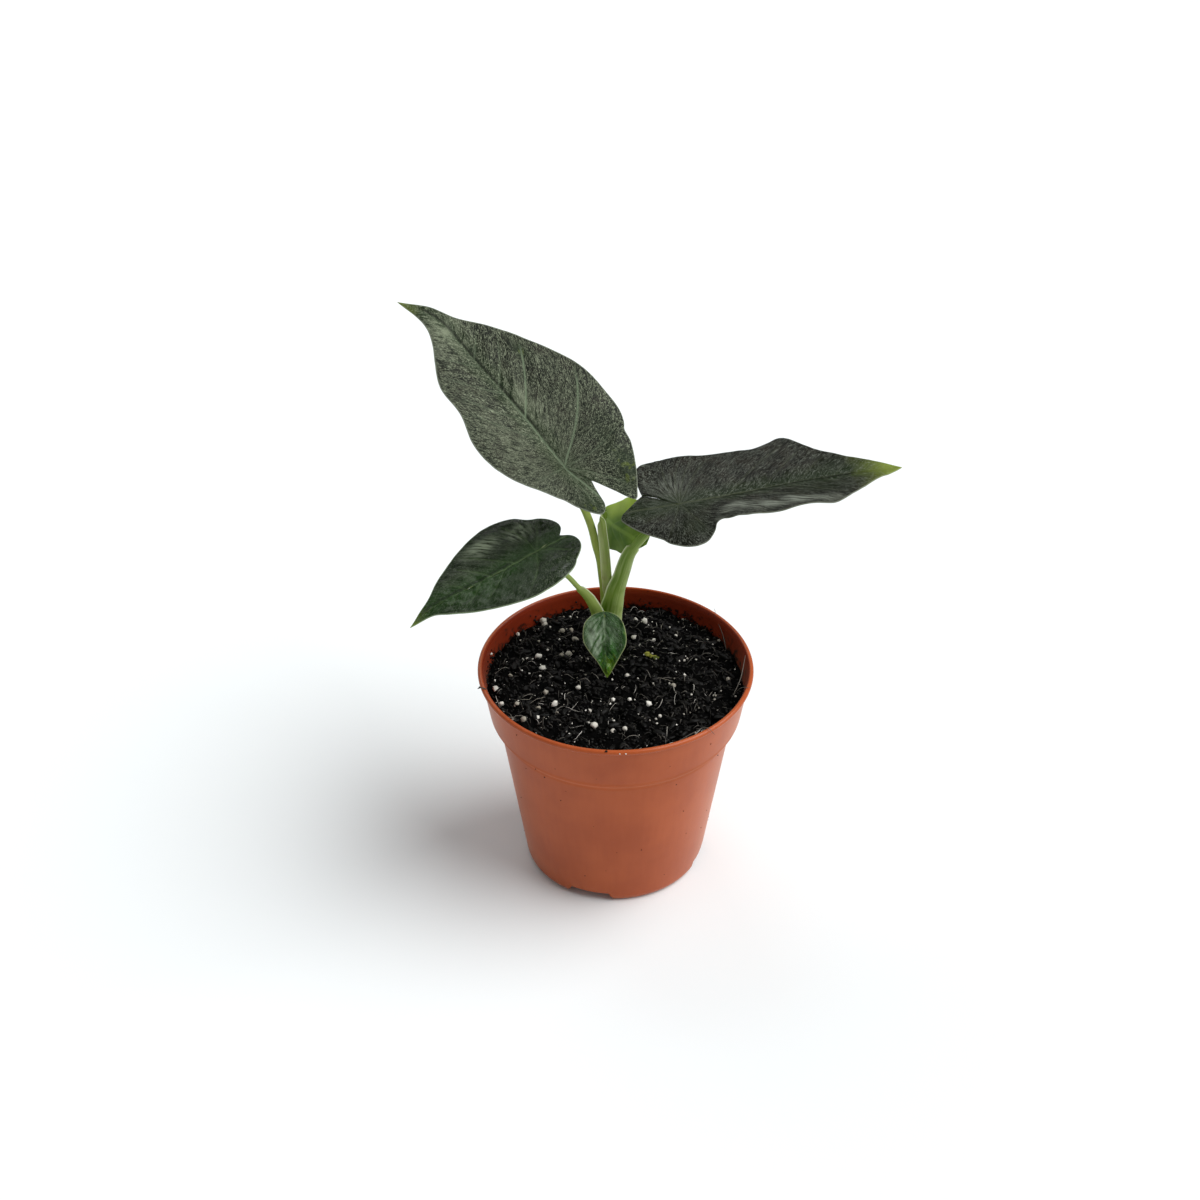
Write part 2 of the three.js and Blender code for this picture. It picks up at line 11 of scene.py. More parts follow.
import bmesh
import bpy
import numpy as np
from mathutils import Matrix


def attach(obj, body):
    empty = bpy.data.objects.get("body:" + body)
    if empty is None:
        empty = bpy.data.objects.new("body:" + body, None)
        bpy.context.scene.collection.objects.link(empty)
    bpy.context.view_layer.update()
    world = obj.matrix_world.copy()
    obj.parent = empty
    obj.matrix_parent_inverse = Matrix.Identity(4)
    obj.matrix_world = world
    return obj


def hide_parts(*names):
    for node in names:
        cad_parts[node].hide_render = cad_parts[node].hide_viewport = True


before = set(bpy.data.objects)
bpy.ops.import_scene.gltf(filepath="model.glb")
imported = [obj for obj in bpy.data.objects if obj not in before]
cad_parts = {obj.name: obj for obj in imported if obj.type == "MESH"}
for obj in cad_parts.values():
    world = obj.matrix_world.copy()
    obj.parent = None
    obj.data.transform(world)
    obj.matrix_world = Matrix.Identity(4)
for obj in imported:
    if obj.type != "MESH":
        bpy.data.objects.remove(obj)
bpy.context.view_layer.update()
MM = 0.001
print("packed nodes:", len(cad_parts))

# %% [markdown]
# ## Working tools
# Every new piece is a grid of points worked out by numpy as whole arrays. It could be modelled by hand with
# loop cuts, but a leaf's waves, veins and brush marks are easier to keep apart as formulas that are added.
# A few helpers are shared: one puts points and faces into a mesh with its named fields, one numbers the
# faces of a grid, one draws a smooth path through points, one runs a tube along it, one sets points round
# the pot's axis, and two give smooth random heights.

# %% Points and faces into a piece
BODY = "root"


def make_piece(name, points, face_sets, materials, stands_for=(), fields=None, zones=None, weld=0):
    """Makes a mesh piece from points in millimetres and arrays of faces with equal corner counts.

    fields are named values kept on the points, zones gives each face its material's number, and points
    closer than weld are joined, which also closes the poles and seams of a grid.
    """
    mesh = bpy.data.meshes.new(name)
    corners = np.concatenate([faces.ravel() for faces in face_sets])
    sizes = np.concatenate([np.full(len(faces), faces.shape[1]) for faces in face_sets])
    mesh.vertices.add(len(points))
    mesh.vertices.foreach_set("co", (np.asarray(points) * MM).astype(np.float32).ravel())
    mesh.loops.add(len(corners))
    mesh.loops.foreach_set("vertex_index", corners.astype(np.int32))
    mesh.polygons.add(len(sizes))
    mesh.polygons.foreach_set("loop_start", np.concatenate([[0], np.cumsum(sizes)[:-1]]).astype(np.int32))
    mesh.polygons.foreach_set("use_smooth", np.ones(len(sizes), bool))
    if zones is not None:
        mesh.polygons.foreach_set("material_index", np.asarray(zones, np.int32))
    mesh.update(calc_edges=True)
    for field, values in (fields or {}).items():
        is_vector = np.ndim(values) == 2
        layer = mesh.attributes.new(field, "FLOAT_VECTOR" if is_vector else "FLOAT", "POINT")
        layer.data.foreach_set("vector" if is_vector else "value", np.asarray(values, np.float32).ravel())
    if weld:
        shape = bmesh.new()
        shape.from_mesh(mesh)
        bmesh.ops.remove_doubles(shape, verts=shape.verts, dist=weld * MM)
        shape.to_mesh(mesh)
        shape.free()
    mesh.validate()
    for material in materials:
        mesh.materials.append(material)
    piece = bpy.data.objects.new(name, mesh)
    bpy.context.scene.collection.objects.link(piece)
    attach(piece, BODY)
    if stands_for:
        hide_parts(*stands_for)
    triangles = sum(len(polygon.vertices) - 2 for polygon in mesh.polygons)
    print(f"{name}: {len(mesh.vertices)} points, {triangles} triangles")
    return piece


def grid_faces(rows, columns, closed=False, first=0, turned=False):
    """Four-sided faces between grid points, where point (i, j) has the number first + i * columns + j.

    closed joins the last column to the first one, and turned makes the faces look the other way.
    """
    i, j = np.meshgrid(np.arange(rows - 1), np.arange(columns if closed else columns - 1), indexing="ij")
    beside = (j + 1) % columns
    corners = [i * columns + j, i * columns + beside, (i + 1) * columns + beside, (i + 1) * columns + j]
    faces = first + np.stack(corners, -1).reshape(-1, 4)
    return faces[:, ::-1] if turned else faces


# %% Smooth paths and steps
SPAN_POINTS = 100


def smooth_path(points, power=0.0):
    """A dense Catmull-Rom curve: each span is a cubic whose end slopes come from the two points beside it.

    The knots are spaced by the distance between points, raised to power, so 0 spaces them evenly.
    """
    path = np.asarray(points, float)
    path = np.vstack([2 * path[0] - path[1], path, 2 * path[-1] - path[-2]])
    knots = np.linalg.norm(np.diff(path, axis=0), axis=1) ** power
    p0, p1, p2, p3 = (path[k:len(path) - 3 + k, None] for k in range(4))
    d0, d1, d2 = (knots[k:len(knots) - 2 + k, None, None] for k in range(3))
    start_slope = ((p1 - p0) / d0 - (p2 - p0) / (d0 + d1) + (p2 - p1) / d1) * d1
    end_slope = ((p2 - p1) / d1 - (p3 - p1) / (d1 + d2) + (p3 - p2) / d2) * d1
    t = np.linspace(0, 1, SPAN_POINTS, endpoint=False)[None, :, None]
    curve = p1 * (2 * t**3 - 3 * t**2 + 1) + p2 * (3 * t**2 - 2 * t**3)
    curve = curve + start_slope * (t**3 - 2 * t**2 + t) + end_slope * (t**3 - t**2)
    return np.vstack([curve.reshape(-1, path.shape[1]), path[-2]])


def lengths_along(curve):
    """Distance from a dense curve's start to each of its points."""
    return np.concatenate([[0], np.cumsum(np.linalg.norm(np.diff(curve, axis=0), axis=1))])


def take(curve, lengths, where):
    """The curve's points at the given distances from its start."""
    return np.stack([np.interp(where, lengths, column) for column in curve.T], -1)


def smoothstep(value, low, high):
    """0 below low, 1 above high, and between them the share t as 3 t squared less 2 t cubed."""
    t = np.clip((value - low) / (high - low), 0, 1)
    return t * t * (3 - 2 * t)


def value_at(stations, t, column=1):
    """A value eased from each station (place, value, ...) to the next one, and flat beyond the ends."""
    stations = np.asarray(stations, float)
    k = np.clip(np.searchsorted(stations[:, 0], t) - 1, 0, len(stations) - 2)
    share = smoothstep(t, stations[k, 0], stations[k + 1, 0])
    return stations[k, column] + (stations[k + 1, column] - stations[k, column]) * share


def unit(vectors):
    """Vectors of length 1 in the same directions."""
    return vectors / np.linalg.norm(vectors, axis=-1, keepdims=True)


# %% Tubes and points round the pot's axis


def round_axis(radius, turn, height):
    """Points at a radius and a turn about the pot's upright axis."""
    return np.stack([radius * np.cos(turn), radius * np.sin(turn), height], -1)


def tube(curve, radius, sides, steps):
    """A tube round a dense curve. radius holds the radius at each of its steps."""
    lengths = lengths_along(curve)
    where = np.linspace(0, lengths[-1], steps)
    centre = take(curve, lengths, where)
    tangent = unit(np.gradient(centre, axis=0))
    side = unit(np.cross(tangent, (0.1, 0.2, 1)))
    out = np.cross(side, tangent)
    turn = np.linspace(0, 2 * math.pi, sides, endpoint=False)[None, :, None]
    ring = side[:, None] * np.sin(turn) + out[:, None] * np.cos(turn)
    return centre[:, None] + ring * radius[:, None, None]


# %% Smooth random heights
NOISE_SIDE = 256


def value_noise(x, y, seed):
    """Heights from -1 to 1: a random number at each whole grid point, eased across the cells between."""
    table = np.random.default_rng(seed).uniform(-1, 1, (NOISE_SIDE, NOISE_SIDE))
    ix, iy = np.floor(x).astype(int), np.floor(y).astype(int)
    fx, fy = smoothstep(x - ix, 0, 1), smoothstep(y - iy, 0, 1)
    near, far = ix % NOISE_SIDE, (ix + 1) % NOISE_SIDE
    low, high = iy % NOISE_SIDE, (iy + 1) % NOISE_SIDE
    bottom = table[near, low] * (1 - fx) + table[far, low] * fx
    top = table[near, high] * (1 - fx) + table[far, high] * fx
    return bottom * (1 - fy) + top * fy


def layered_noise(x, y, size, layers, seed):
    """Noise with cells of the given size, plus layers of half the size and half the height each."""
    heights = [value_noise(x * 2**k / size, y * 2**k / size, seed + k) / 2**k for k in range(layers)]
    return sum(heights)


print("three layers of noise reach at most", sum(1 / 2**k for k in range(3)), "times their height")


# %% [markdown]
# ## Colours and shader nodes
# A colour picker shows sRGB values, but light adds up in linear ones, so one function turns every hex
# colour to linear. One more function adds any node, with its own settings and what goes into it. Values
# that are the same all over a surface, such as the index of refraction, go straight on the shader. Two
# settings come back in many nodes: an eased range, and a mix of colours.

# %% Colour and node helpers
SMOOTH = {"interpolation_type": "SMOOTHSTEP"}
COLOURS = {"data_type": "RGBA"}


def linear(colour):
    """A hex sRGB colour as linear red, green and blue, with an alpha of 1."""
    shares = [int(colour[k:k + 2], 16) / 255 for k in (1, 3, 5)]
    return (*(s / 12.92 if s <= 0.04045 else ((s + 0.055) / 1.055) ** 2.4 for s in shares), 1.0)


def set_inputs(node, inputs):
    """Gives sockets their values or links. A node in inputs stands for the first of its outputs in use."""
    for socket, value in inputs.items():
        if isinstance(value, bpy.types.Node):
            value = next(output for output in value.outputs if output.enabled)
        if isinstance(value, bpy.types.NodeSocket):
            node.id_data.links.new(value, node.inputs[socket])
        else:
            node.inputs[socket].default_value = value


def add_node(tree, kind, settings=None, inputs=None):
    """Adds a node with its own settings and with what goes into its sockets."""
    made = tree.nodes.new("ShaderNode" + kind)
    for name, value in (settings or {}).items():
        setattr(made, name, value)
    set_inputs(made, inputs or {})
    return made


def start_material(name, constants):
    """A material, its node tree, and its Principled shader with the values that are the same all over."""
    material = bpy.data.materials.new(name)
    material.use_nodes = True
    shader = material.node_tree.nodes["Principled BSDF"]
    set_inputs(shader, constants)
    return material, material.node_tree, shader


print("mid grey in linear light:", round(linear("#808080")[0], 3))


# %% [markdown]
# ## Camera
# The photograph looks down at the pot from the front, at about 35 degrees. The rim's ellipse and the
# taper of the wall give the distance and a lens of about 60 mm on a 36 mm frame. A long lens from further
# off would flatten the pot, so lens and distance are kept as a pair. The camera's place is in metres.

# %% Camera at the photograph's angle
LENS_MM = 60
SENSOR_MM = 36
CAMERA_PLACE = (0, -0.6916, 0.6255)
LOOKS_DOWN_DEG = 35.27
TURNS_RIGHT_DEG = -0.56

camera_data = bpy.data.cameras.new("camera")
camera_data.lens = LENS_MM
camera_data.sensor_width = SENSOR_MM
camera = bpy.data.objects.new("camera", camera_data)
camera.location = CAMERA_PLACE
camera.rotation_euler = (math.radians(90 - LOOKS_DOWN_DEG), 0, math.radians(-TURNS_RIGHT_DEG))
bpy.context.scene.collection.objects.link(camera)
bpy.context.scene.camera = camera
print("camera distance to the pot's centre:", round(math.hypot(*CAMERA_PLACE), 3), "m")

# %% [markdown]
# ## Floor and light
# The object stands on plain white paper. A broad key light stands to the right, a little in front, which
# throws the long soft shadow to the left, and a white sky fills the rest. A point lamp would give a hard
# shadow edge, so the key is a sun with a wide angle, and its shadow fades as it leaves the pot. A soft
# panel behind and above gives the leaves their grey sheen. Lights and floor are set in metres.

# %% Floor, key light, sheen panel and sky
KEY_TOWARDS_DEG = 3
KEY_HEIGHT_DEG = 51
KEY_STRENGTH = 3.5
KEY_ANGLE_DEG = 58
SKY_STRENGTH = 0.29
PANEL_WATTS = 4
PANEL_SIZE = 0.9
PANEL_PLACE = (-0.45, 0.9, 1.15)
PANEL_TURNS_DEG = (-42, 0, 27)
FLOOR_SIZE = 8

paper = start_material("white_background_paper", {"Base Color": linear("#e9edee"), "Roughness": 1.0,
                                                  "Specular IOR Level": 0})[0]
bpy.ops.mesh.primitive_plane_add(size=FLOOR_SIZE)
floor = bpy.context.object
floor.name = "floor"
floor.data.materials.append(paper)

key_data = bpy.data.lights.new("key", "SUN")
key_data.energy = KEY_STRENGTH
key_data.angle = math.radians(KEY_ANGLE_DEG)
key = bpy.data.objects.new("key", key_data)
key.rotation_euler = (0, math.radians(90 - KEY_HEIGHT_DEG), math.radians(-KEY_TOWARDS_DEG))
bpy.context.scene.collection.objects.link(key)

panel_data = bpy.data.lights.new("panel", "AREA")
panel_data.energy = PANEL_WATTS
panel_data.size = PANEL_SIZE
panel = bpy.data.objects.new("panel", panel_data)
panel.location = PANEL_PLACE
panel.rotation_euler = [math.radians(turn) for turn in PANEL_TURNS_DEG]
bpy.context.scene.collection.objects.link(panel)

sky = bpy.data.worlds.new("sky")
sky.use_nodes = True
sky.node_tree.nodes["Background"].inputs["Color"].default_value = (1, 1, 1, 1)
sky.node_tree.nodes["Background"].inputs["Strength"].default_value = SKY_STRENGTH
bpy.context.scene.world = sky
bpy.context.scene.view_settings.view_transform = "Standard"
print("key light", KEY_STRENGTH, "at", KEY_HEIGHT_DEG, "degrees, sky", SKY_STRENGTH)

# %% [markdown]
# ## The pot
# A nursery pot is injection moulded from polypropylene: one thin wall that tapers so that pots stack, a
# wider band over a slanted step, a rolled bead at the rim, and a raised foot ring with channels that let
# water run off. A turned profile is the natural way to make it. The channels are not round, so they are
# lifted out of the foot ring by a formula, and the drainage holes are drilled by a boolean cut.

# %% Pot profile
POT_TURNS = 216
RUN_LENGTH = 5
CORNER_STEPS = 6
NEAR_CORNER = 0.25
# Corners of the outline as radius, height and rounding, from the middle of the underside up the outside.
OUTSIDE = [
    (0, 0, 0), (14, 0, 0.6), (15, 3.8, 0.6), (33, 3.8, 0.6), (34, 0, 0.5), (38.4, 0, 1), (40.3, 2, 1.6),
    (51.2, 75.5, 2.4), (54.9, 79.4, 2.4), (58.25, 100.1, 0.5), (59.5, 100.3, 0.35), (60, 101.2, 0.8),
    (59.2, 102.4, 0.9), (58, 102.3, 0.6),
]
# The inside, from the bead down to the floor and in to the middle.
INSIDE = [(57.1, 100.4, 1.2), (53.7, 79.6, 2), (50, 75.7, 2), (39.6, 6.2, 1.5), (38.4, 5, 1), (0, 5, 0)]


def rounded_outline(corners):
    """An outline whose corners are quadratic curves from the run before to the run after.

    The straight runs between them are split into steps of about RUN_LENGTH, and get one more step close to
    each of their ends, which keeps the shading flat there.
    """
    corners = np.asarray(corners, float)
    place, radius = corners[:, :2], corners[:, 2:]
    back, ahead = unit(place[:-2] - place[1:-1]), unit(place[2:] - place[1:-1])
    t = np.linspace(0, 1, CORNER_STEPS)[None, :, None]
    corner, reach = place[1:-1, None], radius[1:-1, None]
    start, end = corner + back[:, None] * reach, corner + ahead[:, None] * reach
    bends = (1 - t) ** 2 * start + 2 * t * (1 - t) * corner + t**2 * end
    outline = np.vstack([place[:1], bends.reshape(-1, 2), place[-1:]])
    lengths = lengths_along(outline)
    where = [lengths]
    for a, b in zip(lengths[:-1], lengths[1:]):
        if b - a > RUN_LENGTH / 2:
            where.append(np.linspace(a, b, int((b - a) / RUN_LENGTH) + 3)[1:-1])
            where.append([a + NEAR_CORNER, b - NEAR_CORNER])
    return take(outline, lengths, np.unique(np.concatenate(where)))


pot_profile = rounded_outline(OUTSIDE + INSIDE)
print("pot profile:", len(pot_profile), "points")

# %% Pot surface with foot channels
CHANNEL_HEIGHT = 3.7
CHANNEL_RISE = 1.3
CHANNEL_HALF_TOP = 8.7
CHANNEL_SLANT = 0.51
CHANNEL_START = 31
CHANNEL_EDGE_DEG = (11, 19)
CHANNEL_EDGE_TURNS = 14
FOOT_WALL = (38.4, 40.4)
FIRST_CHANNEL_DEG = -106
CHANNEL_TURNS = math.radians(FIRST_CHANNEL_DEG) + np.arange(4) * math.pi / 2


def pot_surface():
    """Points of the pot: the profile turned round the upright axis.

    Under the foot a channel's roof lifts the points. The roof stands at the channel's height and rises a
    little at the outer wall. Beyond half the top width its slanted sides fall. More turns lie close
    together at these sides, so that they come out straight.
    """
    edge = np.radians(np.linspace(*CHANNEL_EDGE_DEG, CHANNEL_EDGE_TURNS))
    near = (CHANNEL_TURNS[:, None] + np.concatenate([-edge, edge])).ravel() % (2 * math.pi)
    turns = np.unique(np.concatenate([np.linspace(0, 2 * math.pi, POT_TURNS, endpoint=False), near]))
    turn, radius = np.meshgrid(turns, pot_profile[:, 0], indexing="ij")
    height = np.broadcast_to(pot_profile[:, 1], radius.shape).copy()
    for channel in CHANNEL_TURNS:
        out, aside = radius * np.cos(turn - channel), radius * np.abs(np.sin(turn - channel))
        roof = CHANNEL_HEIGHT + CHANNEL_RISE * smoothstep(radius, *FOOT_WALL)
        roof = roof - np.maximum(aside - CHANNEL_HALF_TOP, 0) / CHANNEL_SLANT
        height = np.where((out > CHANNEL_START) & (height < roof), roof, height)
    return round_axis(radius, turn, height).transpose(1, 0, 2)


surface = pot_surface()
profile_count, turn_count = surface.shape[:2]
bead = int(np.argmax(pot_profile[:, 1]))
# The inside starts two rings past the top of the bead.
is_inside = np.repeat(np.arange(profile_count) > bead + 2, turn_count).astype(float)
print("pot surface:", profile_count, "rings of", turn_count, "points")

# %% [markdown]
# ## Moulded polypropylene
# The pot's plastic has an even satin gloss, faint upright flow lines from the gate in its floor, and a film
# of soil high on the inner wall. The whole inner wall is also painted a deeper red: painted shade for the
# shadow inside the pot. The slanted step is duller, because stacked pots rub there, and the bead is
# smoother. A painted texture would need an unwrapped pot. Noise in object coordinates needs none, and
# stretching it upright gives the flow lines. One grain then drives the gloss and the bump together.

# %% Plastic finish
PLASTIC_COLOUR = linear("#ae542a")
PLASTIC_DEEP = linear("#9f4821")
# Painted shade: the deeper red of the inner wall stands for the shadow inside the pot.
PLASTIC_INSIDE_SHADE = linear("#7c1f0b")
SOIL_STAIN = linear("#1c0d09")
FLOW_LINE_MM = 2.2
CLOUD_MM = 28
SMEAR_MM = 2.5
SKIN_GRAIN_MM = 0.6
SOIL_FILM_LEVELS = (100, 88)
STEP_MIDDLE = 77.5
STEP_RUBBED = (2, 5)
BEAD_LEVELS = (100.2, 101.2)

plastic, tree, shader = start_material("moulded_polypropylene", {
    "IOR": 1.38, "Specular IOR Level": 0.35, "Sheen Weight": 0.2, "Sheen Roughness": 0.4,
    "Sheen Tint": linear("#ffc8a8")})
place = add_node(tree, "TexCoord").outputs["Object"]
upright = add_node(tree, "Mapping", inputs={"Vector": place, "Scale": (1, 1, 0.04)})
flow = add_node(tree, "TexNoise", inputs={"Vector": upright, "Scale": 1 / (FLOW_LINE_MM * MM), "Detail": 2})
cloud = add_node(tree, "TexNoise", inputs={"Vector": place, "Scale": 1 / (CLOUD_MM * MM), "Detail": 3})
tone = add_node(tree, "Math", {"operation": "MULTIPLY_ADD"}, {0: flow, 1: 0.22, 2: cloud})
streaked = add_node(tree, "MapRange", SMOOTH, {"Value": tone, "From Min": 0.4, "From Max": 0.85})
inner = add_node(tree, "Attribute", {"attribute_name": "inside"}).outputs["Fac"]
# Painted shade: the whole inside is mixed towards the deeper red.
deeper = add_node(tree, "Math", {"operation": "MULTIPLY"}, {0: inner, 1: 0.85})
smear = add_node(tree, "TexNoise", inputs={"Vector": place, "Scale": 1 / (SMEAR_MM * MM), "Detail": 5})
level = add_node(tree, "SeparateXYZ", inputs={"Vector": place}).outputs["Z"]
level = add_node(tree, "Math", {"operation": "DIVIDE"}, {0: level, 1: MM})
low = add_node(tree, "MapRange", inputs={"Value": level, "From Min": SOIL_FILM_LEVELS[0],
                                         "From Max": SOIL_FILM_LEVELS[1], "To Max": 0.42})
wet = add_node(tree, "Math", {"operation": "ADD"}, {0: smear, 1: low})
stain = add_node(tree, "MapRange", SMOOTH, {"Value": wet, "From Min": 0.62, "From Max": 0.86})
stain = add_node(tree, "Math", {"operation": "MULTIPLY"}, {0: stain, 1: inner})
colour = PLASTIC_COLOUR
for part, tone in ((streaked, PLASTIC_DEEP), (deeper, PLASTIC_INSIDE_SHADE), (stain, SOIL_STAIN)):
    colour = add_node(tree, "Mix", COLOURS, {0: part, 6: colour, 7: tone})
grain = add_node(tree, "TexNoise", inputs={"Vector": place, "Scale": 1 / (SKIN_GRAIN_MM * MM), "Detail": 3})
gloss = add_node(tree, "MapRange", inputs={"Value": grain, "To Min": 0.3, "To Max": 0.42})
from_step = add_node(tree, "Math", {"operation": "SUBTRACT"}, {0: level, 1: STEP_MIDDLE})
from_step = add_node(tree, "Math", {"operation": "ABSOLUTE"}, {0: from_step})
rubbed = add_node(tree, "MapRange", SMOOTH, {"Value": from_step, "From Min": STEP_RUBBED[0],
                                             "From Max": STEP_RUBBED[1], "To Min": 0.5, "To Max": 0})
smoother = add_node(tree, "MapRange", inputs={"Value": level, "From Min": BEAD_LEVELS[0],
                                              "From Max": BEAD_LEVELS[1], "To Max": -0.14})
for part in (rubbed, smoother):
    gloss = add_node(tree, "Math", {"operation": "ADD"}, {0: gloss, 1: part})
bump = add_node(tree, "Bump", inputs={"Height": grain, "Strength": 0.12, "Distance": 0.0001})
set_inputs(shader, {"Base Color": colour, "Roughness": gloss, "Normal": bump})
print("plastic finish:", len(tree.nodes), "nodes")

# %% [markdown]
# ## Drainage holes
# Eight round holes let water out through the raised floor. They could be part of the floor's grid, but its
# rings and spokes don't fit small circles, so eight cylinders are cut out of it by a boolean modifier. Its
# result is kept as the mesh, because the library's model has no modifiers.

# %% Pot piece with drilled drainage holes
HOLE_COUNT = 8
HOLE_RADIUS = 4
HOLE_CIRCLE = 23.5
HOLE_SIDES = 32
DRILL_LENGTH = 10
SHARP_EDGE_DEG = 50

pot = make_piece("pot_moulded", surface.reshape(-1, 3),
                 [grid_faces(profile_count, turn_count, closed=True)], [plastic],
                 stands_for=["pot"], fields={"inside": is_inside}, weld=1e-4)
drills = bmesh.new()
for turn in math.radians(FIRST_CHANNEL_DEG) + (np.arange(HOLE_COUNT) + 0.5) * 2 * math.pi / HOLE_COUNT:
    made = bmesh.ops.create_cone(drills, cap_ends=True, segments=HOLE_SIDES, radius1=HOLE_RADIUS * MM,
                                 radius2=HOLE_RADIUS * MM, depth=DRILL_LENGTH * MM)
    offset = (HOLE_CIRCLE * MM * math.cos(turn), HOLE_CIRCLE * MM * math.sin(turn), 0)
    bmesh.ops.translate(drills, verts=made["verts"], vec=offset)
drill_mesh = bpy.data.meshes.new("drills")
drills.to_mesh(drill_mesh)
drills.free()
drill = bpy.data.objects.new("drills", drill_mesh)
bpy.context.scene.collection.objects.link(drill)
cut = pot.modifiers.new("holes", "BOOLEAN")
cut.operation = "DIFFERENCE"
cut.object = drill
cut.solver = "EXACT"
drilled = bpy.data.meshes.new_from_object(pot.evaluated_get(bpy.context.evaluated_depsgraph_get()))
pot.modifiers.clear()
pot.data = drilled
drilled.set_sharp_from_angle(angle=math.radians(SHARP_EDGE_DEG))
bpy.data.objects.remove(drill)
print("pot after drilling:", len(drilled.polygons), "faces")

# %% [markdown]
# ## Potting soil
# Potting mix is peat and bark fibre with perlite, a white expanded glass that keeps it airy. A flat disc
# with a bumpy material would look like felt from the side, so the heap is a real relief: the packed
# model's mound and clods, with billows of 6, 3 and 1.5 mm added. Crumbs, chips, fibres and perlite are
# then scattered on it as small closed lumps, because each of them throws its own little shadow.

# %% Soil relief
SOIL_Z = 92
MOUND_HEIGHT = 3.5
MOUND_CENTRE = (-2.5, 13)
MOUND_REACH = 60
SOIL_RADIUS = 55.4
SOIL_RINGS = 150
SOIL_TURNS = 340
BILLOW_HEIGHT = 0.28
BILLOW_MIDDLE = 0.35
# Billows as (seed, size).
BILLOWS = ((3, 6), (4, 3), (5, 1.5))
# The hidden side of the soil as (radius, height), from the pot's floor up its inside.
SOIL_SIDE = [(0, 5.3), (38.3, 5.3), (39.3, 6.5), (49.7, 75.8), (53.4, 79.7), (SOIL_RADIUS, SOIL_Z - 1)]


def soil_top(x, y):
    """Height of the soil: a low heap round the stalks, slow waves of clods, and billows of crumbs.

    A billow is the noise's distance from zero, which has round tops and sharp creases between them.
    """
    reach = np.hypot(x - MOUND_CENTRE[0], y - MOUND_CENTRE[1]) / MOUND_REACH
    heap = MOUND_HEIGHT * np.maximum(0, 1 - reach**2)
    clods = 0.8 * np.sin(0.31 * x + 1.3) * np.sin(0.27 * y + 0.4)
    clods = clods + 0.6 * np.sin(0.62 * x - 0.35 * y + 2) + 0.4 * np.sin(0.55 * y + 0.5 * x)
    billows = sum(size * BILLOW_HEIGHT * (np.abs(value_noise(x / size, y / size, seed)) - BILLOW_MIDDLE)
                  for seed, size in BILLOWS)
    return SOIL_Z + heap + clods + billows


def soil_surface():
    """Rings of points from under the soil, up the pot's inside and over the relief to the middle."""
    side = np.array(SOIL_SIDE)
    over = SOIL_RADIUS * np.linspace(1, 0, SOIL_RINGS)
    radius = np.concatenate([side[:, 0], over])[:, None]
    turn = np.linspace(0, 2 * math.pi, SOIL_TURNS, endpoint=False)[None, :]
    x, y = radius * np.cos(turn), radius * np.sin(turn)
    height = np.where(np.arange(len(radius))[:, None] < len(side), 0, soil_top(x, y))
    height[:len(side)] = side[:, 1:]
    return np.stack([x, y, height], -1)


points = soil_surface()
print("soil from", round(points[..., 2].min(), 1), "to", round(points[..., 2].max(), 1), "mm")

# %% [markdown]
# ## Peat
# Damp peat is almost black, with brown where fibre and bark show, and its moisture gives it a weak broken
# gloss. One dark colour would look like rubber, so two tones are mixed by noise of 3 mm, and a finer noise
# roughens the surface as a bump.

# %% Peat finish
PEAT_DARK = linear("#030303")
PEAT_BROWN = linear("#0b0908")
CLOD_MM = 3
CRUMB_MM = 0.9

peat, tree, shader = start_material("damp_peat_potting_mix", {"Roughness": 0.7, "Specular IOR Level": 0.03})
place = add_node(tree, "TexCoord").outputs["Object"]
clod = add_node(tree, "TexNoise", inputs={"Vector": place, "Scale": 1 / (CLOD_MM * MM), "Detail": 6,
                                          "Roughness": 0.7})
share = add_node(tree, "MapRange", SMOOTH, {"Value": clod, "From Min": 0.48, "From Max": 0.72})
colour = add_node(tree, "Mix", COLOURS, {0: share, 6: PEAT_DARK, 7: PEAT_BROWN})
crumb = add_node(tree, "TexNoise", inputs={"Vector": place, "Scale": 1 / (CRUMB_MM * MM), "Detail": 5})
bump = add_node(tree, "Bump", inputs={"Height": crumb, "Strength": 0.9, "Distance": 0.0006})
set_inputs(shader, {"Base Color": colour, "Normal": bump})
make_piece("soil_heap", points.reshape(-1, 3), [grid_faces(len(points), SOIL_TURNS, closed=True)], [peat],
           stands_for=["potting_soil"], weld=1e-4)

# %% [markdown]
# ## Crumbs, bark chips and perlite
# The mix is full of loose bits: crumbs of peat, flat chips of bark, and white grains of perlite. They could
# be instances of a few models, but then their shapes would repeat. Here each lump is a small ball whose
# corners are moved at random, and thousands of them are worked out at once as one array.

# %% Scattering lumps


